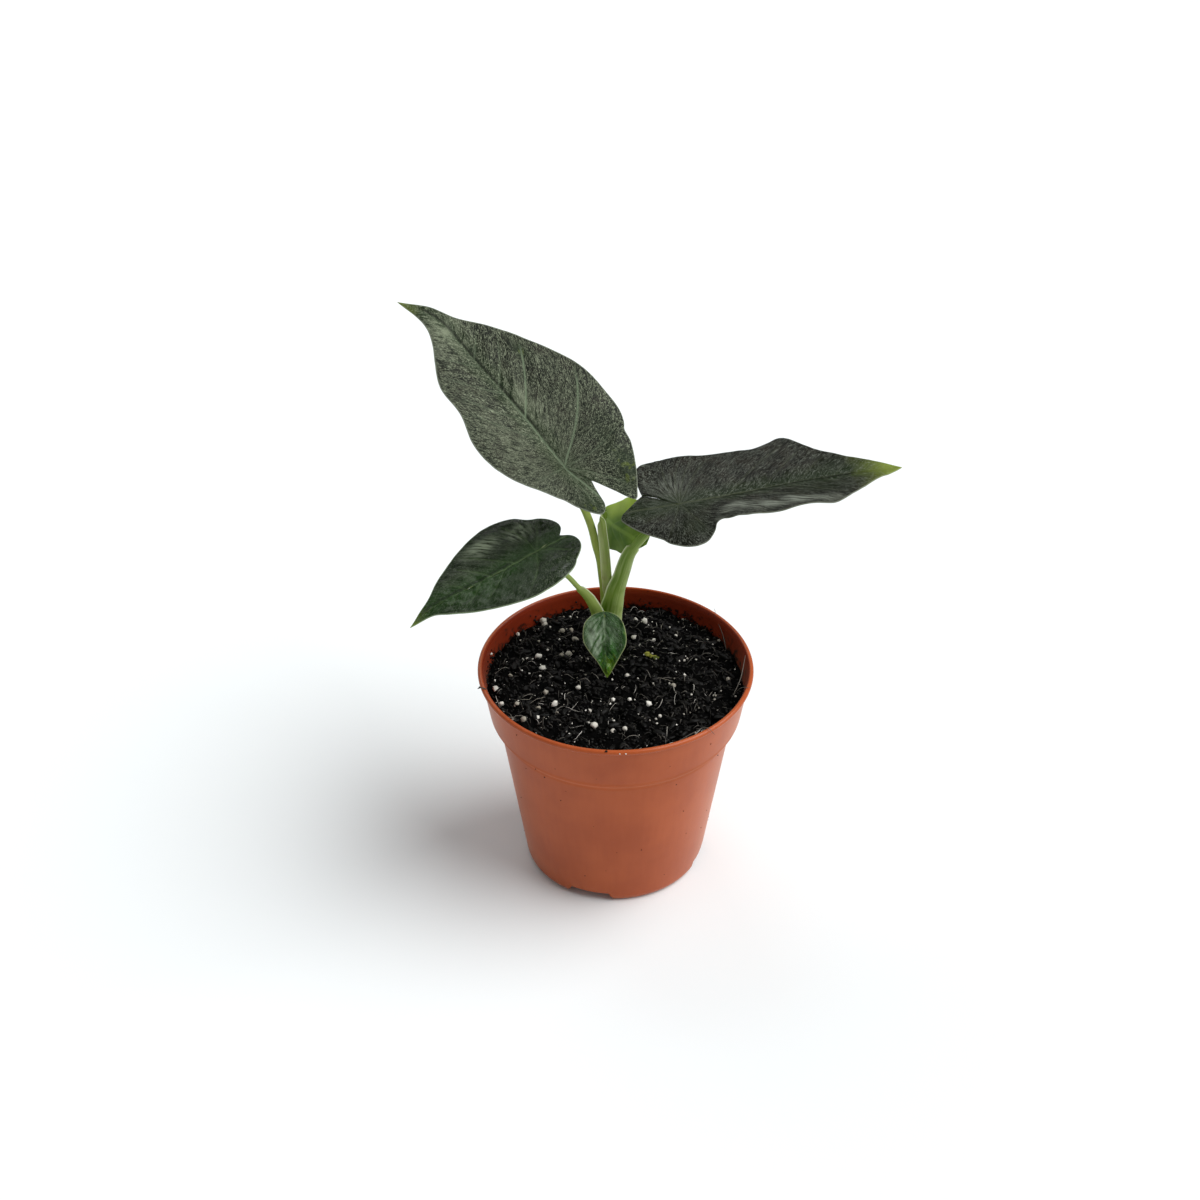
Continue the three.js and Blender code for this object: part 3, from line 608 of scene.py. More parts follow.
def scatter_lumps(places, sizes, proportions, detail, tip, rng):
    """Points, faces and a tint of many lumps: a ball's corners, each moved in or out by a random share.

    A lump is stretched to its proportions, tipped by a random angle of about tip, turned about the
    upright axis, and set at its place. The tint is one random number from 0 to 1 for each lump.
    """
    ball = bmesh.new()
    bmesh.ops.create_icosphere(ball, subdivisions=detail, radius=1)
    corners = np.array([vertex.co for vertex in ball.verts])
    faces = np.array([[vertex.index for vertex in face.verts] for face in ball.faces])
    ball.free()
    count = len(places)
    lumps = corners * rng.uniform(0.7, 1.15, (count, len(corners), 1)) * np.asarray(proportions, float)
    tips, turns = rng.normal(0, tip, count)[:, None], rng.uniform(0, 2 * math.pi, count)[:, None]
    x, y, z = np.moveaxis(lumps * np.asarray(sizes)[:, None, None], -1, 0)
    y, z = y * np.cos(tips) - z * np.sin(tips), y * np.sin(tips) + z * np.cos(tips)
    x, y = x * np.cos(turns) - y * np.sin(turns), x * np.sin(turns) + y * np.cos(turns)
    points = np.stack([x, y, z], -1) + np.asarray(places)[:, None]
    faces = faces + (np.arange(count) * len(corners))[:, None, None]
    tints = np.repeat(rng.uniform(0, 1, count), len(corners))
    return points.reshape(-1, 3), faces.reshape(-1, 3), tints


def make_lumps(name, material, places, sizes, proportions, detail, tip, rng):
    """Scatters lumps of one material and makes a piece of them."""
    points, faces, tints = scatter_lumps(places, sizes, proportions, detail, tip, rng)
    make_piece(name, points, [faces], [material], fields={"tint": tints})


# %% Places on the soil


def on_soil(x, y, lift):
    """Places on the soil's surface, raised by lift."""
    return np.stack([x, y, soil_top(x, y) + lift], -1)


def random_places(count, reach, rng):
    """Places spread evenly over the round surface of the soil."""
    radius, turn = reach * np.sqrt(rng.uniform(0, 1, count)), rng.uniform(0, 2 * math.pi, count)
    return radius * np.cos(turn), radius * np.sin(turn)


# %% Finish of the loose bits


def tinted_material(name, low_colour, high_colour, roughness, grain_mm, gloss=0.15):
    """A rough natural material whose lumps differ in tone by their tint, with a grain in each."""
    material, tree, shader = start_material(name, {"Roughness": roughness, "Specular IOR Level": gloss})
    tint = add_node(tree, "Attribute", {"attribute_name": "tint"}).outputs["Fac"]
    place = add_node(tree, "TexCoord").outputs["Object"]
    grain = add_node(tree, "TexNoise", inputs={"Vector": place, "Scale": 1 / (grain_mm * MM), "Detail": 4})
    mixed = add_node(tree, "Math", {"operation": "MULTIPLY_ADD"}, {0: grain, 1: 0.5, 2: tint})
    share = add_node(tree, "MapRange", inputs={"Value": mixed, "From Min": 0.2, "From Max": 1.3})
    colour = add_node(tree, "Mix", COLOURS, {0: share, 6: linear(low_colour), 7: linear(high_colour)})
    bump = add_node(tree, "Bump", inputs={"Height": grain, "Strength": 0.6, "Distance": 0.0002})
    set_inputs(shader, {"Base Color": colour, "Normal": bump})
    return material


# %% Crumbs and bark chips
SEED = 11
CRUMB_COUNT = 2400
CRUMB_SIZES = (0.35, 1.3)
CHIP_COUNT = 260
CHIP_SIZES = (1.2, 3.2)
SCATTER_REACH = 54.5

rng = np.random.default_rng(SEED)
x, y = random_places(CRUMB_COUNT, SCATTER_REACH, rng)
sizes = rng.uniform(*CRUMB_SIZES, CRUMB_COUNT)
crumb_points, crumb_faces, crumb_tints = scatter_lumps(
    on_soil(x, y, 0.25 * sizes), sizes, (1, 0.8, 0.7), detail=1, tip=1.5, rng=rng)
x, y = random_places(CHIP_COUNT, SCATTER_REACH - 2, rng)
sizes = rng.uniform(*CHIP_SIZES, CHIP_COUNT)
chip_points, chip_faces, chip_tints = scatter_lumps(
    on_soil(x, y, 0.1 * sizes), sizes, (1, 0.45, 0.28), detail=2, tip=0.5, rng=rng)
bark = tinted_material("composted_bark", "#030303", "#0f0d0b", 0.5, 1.2, 0.16)
make_piece("soil_crumbs", np.vstack([crumb_points, chip_points]),
           [crumb_faces, chip_faces + len(crumb_points)], [bark],
           fields={"tint": np.concatenate([crumb_tints, chip_tints])})

# %% Perlite grains
# The largest grains, listed as (x, y, size), then small ones at random, more on the left.
LARGE_GRAINS = [
    (9, 44, 1.6), (13, 40, 1.9), (31, 47, 1.4), (8, 29, 1.7), (17, 27, 1.0), (27, 31, 1.0), (46, 29, 0.9),
    (25, -5, 1.4), (43, -10, 1.3), (49, 1, 1.2), (14, -17, 1.8), (19, -25, 1.1), (30, 2, 1.2), (5, 0, 1.1),
    (6, -15, 1.1), (4, -34, 1.3), (-33, 43, 2.2), (-32, 39, 1.7), (-24, 34, 1.5), (-20, 35, 1.3),
    (-18, 26, 1.6), (-21, 17, 1.9), (-24, 15, 1.4), (-34, 13, 1.7), (-32, 7, 1.7), (-39, 14, 0.9),
    (-44, 32, 1.1), (-46, 3, 1.1), (-52, -7, 1.7), (-49, -16, 1.2), (-42, -19, 1.2), (-33, -20, 1.4),
    (-39, -27, 1.7), (-33, -26, 1.2), (-30, -10, 1.5), (-26, -18, 1.9), (-16, -8, 1.5), (-11, -23, 1.2),
    (-9, -34, 1.9), (-1, -17, 1.1), (-1, -35, 1.3),
]
SMALL_GRAINS = 300
SMALL_SIZES = (0.2, 0.7)
LEFT_SHARE = 0.3

grains = np.array(LARGE_GRAINS, float)
x, y = random_places(SMALL_GRAINS, SCATTER_REACH, rng)
x = np.where(rng.uniform(0, 1, SMALL_GRAINS) < LEFT_SHARE, -np.abs(x), x)
small = rng.uniform(*SMALL_SIZES, SMALL_GRAINS)
places = np.vstack([on_soil(grains[:, 0], grains[:, 1], 0.45 * grains[:, 2]), on_soil(x, y, 0.4 * small)])
perlite = tinted_material("expanded_perlite", "#8f887a", "#f2efe6", 0.85, 0.7)
make_lumps("soil_perlite", perlite, places, np.concatenate([grains[:, 2], small]), (0.95, 0.8, 0.75),
           detail=2, tip=1.5, rng=rng)

# %% [markdown]
# ## Fibres and straws
# Fine brown fibres and a few pale straws lie on the soil. Hair curves could show them, but the finished
# model keeps meshes only, so each one is a thin tube on an arc that follows the soil and rises a little
# between its ends.

# %% Fibres and straws
FIBRE_SIDES = 4
FIBRE_STEPS = 9


def fibre_tubes(x, y, heading, length, bend, arch, thick, lift):
    """Points and faces of many fibres: a heading that turns evenly by bend, and a height over the soil.

    Along the share t the height is arch times 4 t (1 - t), and the thickness falls to a quarter at both
    ends.
    """
    t = np.linspace(0, 1, FIBRE_STEPS)[None, :]
    angle = heading[:, None] + bend[:, None] * t
    step = length[:, None] / (FIBRE_STEPS - 1)
    px = x[:, None] + np.cumsum(step * np.cos(angle), axis=1)
    py = y[:, None] + np.cumsum(step * np.sin(angle), axis=1)
    inside = np.minimum(1, (SCATTER_REACH + 1) / np.hypot(px, py))
    px, py = px * inside, py * inside
    pz = soil_top(px, py) + lift[:, None] + arch[:, None] * 4 * t * (1 - t)
    radius = thick[:, None] * (0.25 + 0.75 * np.sin(math.pi * t) ** 0.5)
    round_turn = np.linspace(0, 2 * math.pi, FIBRE_SIDES, endpoint=False)
    across = radius[..., None] * np.cos(round_turn)
    rise = radius[..., None] * np.sin(round_turn)
    points = np.stack([px[..., None] - across * np.sin(angle)[..., None],
                       py[..., None] + across * np.cos(angle)[..., None], pz[..., None] + rise], -1)
    first_ring = np.arange(FIBRE_SIDES)
    ends = [first_ring, (first_ring + (FIBRE_STEPS - 1) * FIBRE_SIDES)[::-1]]
    faces = np.vstack([grid_faces(FIBRE_STEPS, FIBRE_SIDES, closed=True, turned=True), *ends])
    starts = np.arange(len(x)) * FIBRE_STEPS * FIBRE_SIDES
    return points.reshape(-1, 3), (faces[None] + starts[:, None, None]).reshape(-1, 4)


def random_fibres(count, length, thick, arch, rng):
    """Fibres at random places, with sizes drawn from the given low and high values."""
    x, y = random_places(count, SCATTER_REACH, rng)
    return fibre_tubes(x, y, rng.uniform(0, 2 * math.pi, count), rng.uniform(*length, count),
                       rng.normal(0, 0.6, count), rng.uniform(*arch, count), rng.uniform(*thick, count),
                       rng.uniform(0.2, 0.7, count))


# Fibres as (count, lengths, thicknesses, heights of the arc).
FIBRES = (900, (1.5, 5), (0.08, 0.24), (0, 0.9))
STRAWS = (80, (2, 8), (0.06, 0.12), (0.2, 1.6))
peat_fibre = tinted_material("peat_fibre", "#080706", "#6f6b64", 0.6, 2)
straw = tinted_material("dry_straw", "#8b8578", "#e4e0d8", 0.6, 2)
for name, material, draws, dark_power in (("soil_fibres", peat_fibre, FIBRES, 3),
                                          ("soil_straws", straw, STRAWS, 1)):
    points, faces = random_fibres(*draws, rng)
    tints = np.repeat(rng.uniform(0, 1, draws[0]) ** dark_power, FIBRE_STEPS * FIBRE_SIDES)
    make_piece(name, points, [faces], [material], fields={"tint": tints})

# %% [markdown]
# ## Moss, and soil on the wall
# A fleck of moss lies right of the stalks. Soil that fell there when the plant was potted sticks to the
# inner wall in groups, and a few specks are on the outside. A stain in the plastic's colour looks flat so
# close to the rim, so these are lumps too, placed on the wall by a turn and a height.

# %% Moss, wall specks and soil on the inner wall
MOSS_PLACES = [(13.2, 15.6), (14.3, 14.9), (15.2, 15.5), (16.2, 14.6), (17.2, 14.2), (18.2, 13.6),
               (15.6, 13.9), (17.4, 12.9), (13.9, 16.6)]
# Specks on the outside, as (turn in degrees, height).
SPECKS = [(-136, 95), (-139, 71), (-128, 79), (-126, 73), (-114, 75.8), (-91, 75.4), (-45, 91), (-29, 72),
          (-118, 62), (-101, 50), (-58, 12), (-75, 34), (-95, 21), (-66, 88), (-98, 84)]
MORE_SPECKS = 26
SPECK_HEIGHTS = (8, 98)
SPLASH_COUNT = 260
SPLASH_GROUPS = 15
SPLASH_SIDE_DEG = 120
SPLASH_TOP = 100
OUTER_WALL = OUTSIDE[6:10]
INNER_WALL = INSIDE[:4]
# Clods that stick to the inner wall, as (turn in degrees, height, size).
WALL_CLODS = [(168, 96.6, 0.7), (166, 95.2, 1), (170, 94.2, 1.3), (163, 93.6, 1.2), (158, 93, 1.4),
              (152, 92.6, 1.3), (130, 96.4, 0.5), (131, 95, 0.8), (130, 93.6, 1.1), (133, 98, 0.4),
              (175, 92.6, 1.5), (146, 92.8, 1.2), (139, 92.6, 1.5), (182, 92.6, 1.3), (172, 97.4, 0.5),
              (165, 98.6, 0.4), (124, 92.8, 1.2)]


def wall_radius(z, outline):
    """The pot's radius at a height, from the outline's corners."""
    corners = np.array(outline)[:, :2]
    corners = corners[np.argsort(corners[:, 1])]
    return np.interp(z, corners[:, 1], corners[:, 0])


moss_x, moss_y = np.array(MOSS_PLACES, float).T
moss = tinted_material("fresh_moss", "#3f4a14", "#a3a044", 0.7, 0.8)
make_lumps("soil_moss", moss, on_soil(moss_x, moss_y, 0.4), rng.uniform(1.0, 1.7, len(moss_x)),
           (1, 0.6, 0.45), detail=2, tip=0.8, rng=rng)

turn_deg, height = np.array(SPECKS, float).T
turn = np.concatenate([np.radians(turn_deg), rng.uniform(0, 2 * math.pi, MORE_SPECKS)])
height = np.concatenate([height, rng.uniform(*SPECK_HEIGHTS, MORE_SPECKS)])
outer = round_axis(wall_radius(height, OUTER_WALL), turn, height)
groups = rng.vonmises(math.radians(SPLASH_SIDE_DEG), 0.5, SPLASH_GROUPS)
splash_turn = groups[rng.integers(0, SPLASH_GROUPS, SPLASH_COUNT)] + rng.normal(0, 0.12, SPLASH_COUNT)
splash_height = np.minimum(SOIL_Z + 1 + rng.exponential(1.3, SPLASH_COUNT), SPLASH_TOP)
clod_turn, clod_height, clod_size = np.array(WALL_CLODS, float).T
splash_turn = np.concatenate([splash_turn, np.radians(clod_turn)])
splash_height = np.concatenate([splash_height, clod_height])
inner = round_axis(wall_radius(splash_height, INNER_WALL) - 0.1, splash_turn, splash_height)
sizes = np.concatenate([rng.uniform(0.2, 0.4, len(outer)), rng.uniform(0.2, 0.7, SPLASH_COUNT), clod_size])
make_lumps("soil_specks", bark, np.vstack([outer, inner]), sizes, (1, 0.9, 0.9), detail=1, tip=1.5, rng=rng)

# %% [markdown]
# ## Loose bits on the rim
# A few long fibres hang over the rim or cling to the wall, and some crumbs and pale grains lie on the bead.
# They are what the eye catches first at a clean edge, so they are placed one by one and not scattered.

# %% Loose bits on the rim
# Fibres as (points, radius), then crumbs and grains as (x, y, z, size).
RIM_FIBRES = [
    ([(50.5, -14, 96.5), (54, -6, 99.8), (56.5, 6.2, 102.9)], 0.17),
    ([(50.5, -14, 96.5), (53.6, -15.6, 101.8), (57.6, -17, 103)], 0.13),
    ([(22.5, -50, 97.5), (30, -46.7, 100.6), (36.6, -44, 102.9)], 0.16),
    ([(33.5, -43, 101.3), (38.3, -44.6, 103.1), (41.2, -46.4, 101.2)], 0.15),
    ([(45.9, 31, 101.5), (47.8, 27, 98), (49, 20.5, 95.2)], 0.16),
    ([(44.2, 36.6, 101), (44.5, 37.6, 103.5), (43.9, 38.2, 105.2)], 0.09),
    ([(-58.8, -17.8, 102.2), (-57.2, -18, 103), (-55, -18.3, 102.4)], 0.3),
]
RIM_CRUMBS = [(-3.6, -59.2, 102.4, 0.65), (-57.9, -17.3, 102.6, 0.6), (-53.6, 14.5, 97.5, 0.5)]
RIM_GRAINS = [(1.9, -59.9, 101.6, 0.36), (4.4, -59.7, 101.5, 0.4), (-54.8, 12.6, 98, 0.8)]
RIM_SIDES = 6
RIM_STEPS = 24

thickness = np.sin(math.pi * np.linspace(0.04, 0.96, RIM_STEPS)) ** 0.4
points = np.vstack([tube(smooth_path(path), size * thickness, RIM_SIDES, RIM_STEPS).reshape(-1, 3)
                    for path, size in RIM_FIBRES])
faces = [grid_faces(RIM_STEPS, RIM_SIDES, closed=True, first=k * RIM_STEPS * RIM_SIDES)
         for k in range(len(RIM_FIBRES))]
tints = np.repeat(np.linspace(1.0, 0.4, len(RIM_FIBRES)), RIM_STEPS * RIM_SIDES)
make_piece("soil_rim_fibres", points, faces, [peat_fibre], fields={"tint": tints})
for name, material, bits in (("soil_rim_crumbs", bark, RIM_CRUMBS), ("soil_rim_grains", straw, RIM_GRAINS)):
    bits = np.array(bits)
    make_lumps(name, material, bits[:, :3], bits[:, 3], (1, 0.8, 0.8), detail=2, tip=1, rng=rng)

# %% [markdown]
# ## The plant
# An alocasia grows from a corm, a short tuber in the soil. Every stalk is a round petiole with a sheath at
# its foot that wraps the next younger leaf, and carries one arrow-shaped blade. The blade's form comes in
# layers: a flat outline with a vein pattern, the curve of its midrib, a fold along it, waves of the margin,
# and small relief on top. Flat coordinates stay with every point, so the veins and the colours can use them.

# %% Blade measures
# rib runs from the notch between the lobes over the joint with the stalk to the tip. left and right are
# the flat outline from the notch to the tip, as (along the rib from the joint, out from it). A fold is
# (share of the length, angle). A wave is its height and length along the margin. rib_veins are the places
# on the midrib where side veins start, and joint_veins the directions in degrees of those from the joint.
# vein is how strongly those show, clear_veins the numbers of those that show fully, crumple the height of
# creases, and tip the share of the length where the tip's colour starts. A patch is (along, out, reach
# along, reach out, strength): paler above 0, greener below it, and yellow-green below -1. Paler patches are
# partly the leaf's own tone and partly painted highlights, glints and sheen bands, and greener ones partly
# painted shade beside creases.
LEAVES = {
    "upper_left": {
        "rib": [(-13.1, 12, 186.6), (-21.5, 18, 191.1), (-39, 30, 208.5), (-59.9, 43, 227.6),
                (-74.9, 52, 240.9), (-91.7, 58, 246.5)],
        "facing": (0.2, -0.65, 0.73), "notch": (-12, 3),
        "left": [(-21, 6.3), (-31, 9), (-28.5, 13.5), (-20, 22), (-8, 30.5), (8, 35.5), (24, 35), (38, 30),
                 (52, 23), (66, 14.5), (77, 6), (88, 3)],
        "right": [(-17, 1), (-24, -1.5), (-25.5, -6), (-17, -10.5), (-5, -14.5), (8, -23.5), (20, -28.5),
                  (32, -29), (44, -24.5), (57, -22), (67, -15), (76, -9), (88, -3.5)],
        "fold_left": [(-0.3, 0), (0, 0.05), (0.4, 0.1), (1, 0.1)],
        "fold_right": [(-0.3, 0.15), (0, 0.3), (0.4, 0.42), (0.8, 0.25), (1, 0.1)],
        "droop": (0.15, 0.2), "wave": (0.5, 30),
        "rib_veins": ([26, 43, 58, 72], [13, 25, 40, 55, 70]), "joint_veins": ([46, 100, 143], [80, 165]),
        "vein": 0.3, "clear_veins": ([0, 4], []), "crumple": 0.05, "tip": 0.9,
        # The patch at (2, 24) is painted shade beside the crease of a main vein.
        "patches": [(49, 18, 5, 3, -0.8), (-17, 20, 10, 6, -0.85), (-24, 12, 6, 6, -0.5),
                    (-20, -7, 7, 5, -0.8), (2, 24, 9, 7, -0.35), (74, -3, 10, 7, 0.35),
                    (30, 5, 14, 5, 0.25), (20, -15, 25, 8, 0.15)],
    },
    "right": {
        "rib": [(16.1, 12, 175), (26.1, 14, 175.8), (51.9, 22, 176.3), (77.5, 28, 178.7), (103.3, 34, 179.9),
                (121.6, 38, 179.5)],
        "facing": (0, -0.15, 1), "notch": (-14, -8),
        "left": [(-19, -4), (-25, 2), (-24, 6), (-18, 12), (-10, 17), (-2, 22.5), (4, 22.5), (9.5, 18.5),
                 (11.5, 15.5), (14, 16), (17.5, 21), (24, 25), (36, 25.5), (49, 26), (61, 25), (72, 18),
                 (84, 8.5), (92, 4)],
        "right": [(-14.5, -12), (-14.5, -20), (-12, -26), (-4, -28.5), (8, -27.5), (20, -26), (31, -24),
                  (39, -23.5), (47, -26), (53, -26.5), (61, -20), (70, -14), (80, -8.5), (90, -4.5)],
        "fold_left": [(-0.3, -0.15), (0.06, -0.12), (0.2, 0.42), (0.5, 0.42), (0.8, 0.3), (1, 0.15)],
        "fold_right": [(-0.3, 0.05), (0, 0.15), (0.3, 0.2), (0.5, 0.2), (1, 0.1)],
        "droop": (0.2, 0.2), "wave": (0.6, 24),
        "rib_veins": ([16, 32, 48, 63, 77], [22, 38, 54, 69]),
        "joint_veins": ([60, 110, 150], [42, 62, 78, 97]),
        "vein": 0.3, "clear_veins": ([], []), "crumple": 0.12, "tip": 0.78,
        # The first three patches are a painted highlight band along the margin.
        "patches": [(20, 14, 10, 3.5, 0.7), (36, 18, 12, 3.5, 0.8), (54, 20.5, 10, 3, 0.6),
                    (-6, -23, 7, 5, -0.1), (-2, -10, 9, 7, 0.3), (4, 14, 8, 6, -0.5),
                    (60, 10, 16, 7, -0.5), (70, -6, 9, 5, -0.5)],
    },
    "lower_left": {
        "rib": [(-25.5, 14, 156.9), (-33.4, 8, 155.8), (-46.7, 2, 150.6), (-61.3, -4, 145),
                (-76.3, -9, 138.6), (-86.7, -11, 129.1)],
        "facing": (-0.25, -0.45, 0.85), "notch": (-13, 1.5),
        "left": [(-16, 5), (-15.5, 9), (-11, 13.5), (0, 19), (12, 22), (22, 20.5), (32, 16.5), (42, 10.5),
                 (50, 4.5), (57, 2)],
        "right": [(-17, -1), (-18, -5.5), (-16, -10), (-10, -15), (-1, -20.5), (11, -21), (23, -18),
                  (34, -13.5), (44, -8.5), (51, -4), (58, -1.7)],
        "fold_left": [(0, 0.22), (1, 0.22)],
        "fold_right": [(0, 0.22), (1, 0.22)],
        "droop": (0.3, 0.3), "wave": (0, 30),
        "rib_veins": ([10, 22, 34, 45], [15, 27, 38]), "joint_veins": ([75, 120], [62, 135]),
        "vein": 0.35, "clear_veins": ([], []), "crumple": 0.5, "tip": 0.84,
        # The first two patches are painted highlights.
        "patches": [(20, 14, 7, 3, 0.9), (2, 12, 6, 3.5, 0.6), (30, 3, 16, 5, 0.12), (24, -8, 20, 7, -0.5)],
    },
    "back": {
        "rib": [(-6.6, 23.5, 164), (-6.1, 24.5, 162.3), (-1.5, 28, 155.5), (3.3, 31, 150), (8.6, 33, 145),
                (13.2, 33, 142.7)],
        "facing": (-0.1, 0.6, -0.8), "notch": (-1.2, 0),
        "left": [(-2, 2.5), (0.5, 6), (4, 9), (7.5, 12), (12, 15), (18, 16), (24, 14.5), (28, 9.5),
                 (29.6, 4)],
        "right": [(-1.2, -1.5), (0.8, -3.8), (3.2, -7.2), (8, -10.3), (14, -9.5), (19, -9), (24, -6),
                  (27.5, -2.5)],
        "fold_left": [(0, -0.3), (1, -0.3)],
        "fold_right": [(0, -0.05), (1, -0.05)],
        "droop": (-0.2, -0.2), "wave": (-0.3, 18),
        "rib_veins": ([7, 14, 21], [6, 12, 18]), "joint_veins": ([80], [80]),
        "vein": 0.3, "clear_veins": ([], []), "crumple": 0, "tip": 0.87,
        "patches": [(12, 13, 9, 5, 0.9), (4, 7, 6, 4, 0.9), (2, -3, 5, 4, 0.3), (10, 0, 8, 5, -0.4)],
    },
    "small_front": {
        "rib": [(-5.1, 9.8, 124.2), (-5.1, 9, 123.1), (-4.7, 5.5, 116.6), (-4.2, 0.5, 106.9),
                (-3.7, -3.5, 97.4)],
        "facing": (0, -0.9, 0.45), "notch": (-0.6, 0),
        "left": [(-0.3, 3), (1, 6.3), (4, 9.3), (8.5, 10.2), (12.5, 9.8), (16.5, 7.5), (21, 4.2), (26, 1.5)],
        "right": [(-0.3, -3), (1.5, -6.5), (5, -8.8), (10, -9.8), (14.5, -9.2), (19, -6.5), (23, -4),
                  (26.5, -1.8)],
        "fold_left": [(0, 0.35), (1, 0.35)],
        "fold_right": [(0, 0.35), (1, 0.35)],
        "droop": (0.5, 0.5), "wave": (0, 20),
        "rib_veins": ([5, 11, 17], [4, 10, 16]), "joint_veins": ([80], [80]),
        "vein": 0.25, "clear_veins": ([], []), "crumple": 0.9, "tip": 0.78,
        # The first patch is partly the silvery tone of the left half and partly painted highlight, the
        # second is a painted highlight on the ridge beside the midrib, and the fourth is painted light on
        # the right half.
        "patches": [(11, 4, 9, 4, 0.6), (6, 0.8, 3.5, 0.6, 0.8), (18, 4, 6, 2.5, 0.4), (12, -5, 10, 5, 0.2),
                    (21.5, -2, 5, 5, -3), (10, -9, 8, 1.5, -1.2)],
    },
}
print("blades:", ", ".join(LEAVES))

# %% Stalk measures
# Each path runs from the corm to the joint. outward is the side that the sheath turns to the outside. A
# section is (share of the length, half width across, half width through, bend round what it wraps).
STALKS = {
    "small_front": {
        "path": [(-4, 17.5, 74), (-4.5, 16, 95), (-5.1, 12.5, 110), (-5.1, 9, 123.1)],
        "outward": (0, -1, 0),
        "sections": [(0, 2, 1.3, 0), (0.5, 1.5, 1.2, 0), (1, 1.1, 1.1, 0)],
    },
    "back": {
        "path": [(-1, 23.5, 74), (-1.2, 24, 95), (-2, 22.2, 114), (-3.3, 20, 126), (-4.1, 17.6, 136.5),
                 (-4.5, 16.4, 144), (-5.1, 16.2, 152.2), (-5.8, 16.9, 158.3), (-6.2, 19.5, 162),
                 (-6.1, 24.5, 162.3)],
        "outward": (0.2, 1, 0),
        "sections": [(0, 2.4, 1.6, 0), (0.5, 2.4, 1.4, 0), (0.85, 2.2, 1.3, 0), (0.95, 2, 1.2, 0),
                     (1, 1.6, 1, 0)],
    },
    "upper_left": {
        "path": [(-4.3, 22.5, 74), (-4.8, 22.3, 95), (-5.2, 22, 122.9), (-6, 22, 132.9), (-7.1, 22.3, 142.4),
                 (-8.7, 22.5, 149.1), (-10.5, 22.7, 157.8), (-13, 22.8, 165.8), (-17.9, 22, 177.4),
                 (-21.5, 18, 191.1)],
        "outward": (-0.9, -0.3, 0),
        "sections": [(0, 2.8, 1.6, 0.08), (0.35, 2.4, 1.6, 0.08), (0.6, 1.9, 1.7, 0.04), (0.7, 1.7, 1.7, 0),
                     (1, 1.2, 1.2, 0)],
    },
    "right": {
        "path": [(-1, 19.5, 74), (-1.2, 19, 95), (-1.7, 18.5, 109.3), (-1.1, 17.5, 118.7), (0.6, 16.5, 130),
                 (3, 16, 139.3), (5.2, 16, 148.1), (7.6, 16, 152.7), (12.1, 16, 158.9), (18.8, 15.5, 166.3),
                 (26.1, 14, 175.8)],
        "outward": (0.35, -0.93, 0),
        "sections": [(0, 3.8, 1.7, 0.08), (0.28, 5.5, 1.8, 0.08), (0.39, 5.6, 1.8, 0.08),
                     (0.5, 4.6, 1.9, 0.08), (0.6, 3.8, 1.9, 0.07), (0.7, 3.4, 1.9, 0.04),
                     (0.72, 3.4, 1.9, 0.03), (0.733, 2.1, 1.8, 0), (1, 1.3, 1.3, 0)],
    },
    "lower_left": {
        "path": [(-5, 18.5, 74), (-6.6, 17.5, 95), (-7.4, 16, 111.6), (-8.6, 15, 118.3), (-10.4, 14, 124.3),
                 (-12.9, 13, 129.7), (-16.7, 12, 135.1), (-20.3, 11, 140.5), (-27.2, 9.5, 148.2),
                 (-33.4, 8, 155.8)],
        "outward": (-0.5, -0.87, 0),
        "sections": [(0, 2.8, 1.3, 0.1), (0.38, 3.4, 1.4, 0.1), (0.5, 3.6, 1.4, 0.1), (0.6, 3.2, 1.4, 0.08),
                     (0.675, 2.7, 1.3, 0.05), (0.688, 1.2, 1.1, 0), (1, 0.85, 0.85, 0)],
    },
}
for name, stalk in STALKS.items():
    print("stalk", name, "is", round(lengths_along(smooth_path(stalk["path"], power=0.5))[-1]), "mm long")

# %% [markdown]
# ## Corm and roots
# The corm is a short upright tuber with rings where old leaves were, and its fleshy roots taper into the
# soil. Both are hidden in the pot, but the part can be lifted out of it. The tuber could be sculpted. A ball
# with a wave along its height gives the same rings, and tubes on curves are enough for the roots. A small
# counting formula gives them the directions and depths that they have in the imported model.

# %% Corm and roots
CROWN = (-2.5, 21)
CORM_HALF = (8.5, 8.5, 11.5)
CORM_MIDDLE_Z = 67.5
CORM_RINGS, CORM_TURNS = 64, 80
RING_WAVE, RING_HEIGHT = 26, 0.018
SKIN_HEIGHT = 0.02
ROOT_COUNT = 6
ROOT_SIDES, ROOT_STEPS = 14, 70
ROOT_RADIUS, ROOT_TAPER = 1.8, 0.9
ROOT_END_Z, ROOT_END_SPREAD = 16, 14
ROOT_TURN_SPREAD = 0.4
ROOT_SPOT_MM = 2.5
COUNT_START, COUNT_FACTOR, COUNT_STEP, COUNT_LIMIT = 20, 1664525, 1013904223, 2**32


def counted_shares(count):
    """Shares from 0 to 1: each whole number is the last one times a factor plus a step, within a limit."""
    numbers = [COUNT_START]
    while len(numbers) <= count:
        numbers.append((numbers[-1] * COUNT_FACTOR + COUNT_STEP) % COUNT_LIMIT)
    return [number / COUNT_LIMIT for number in numbers[1:]]


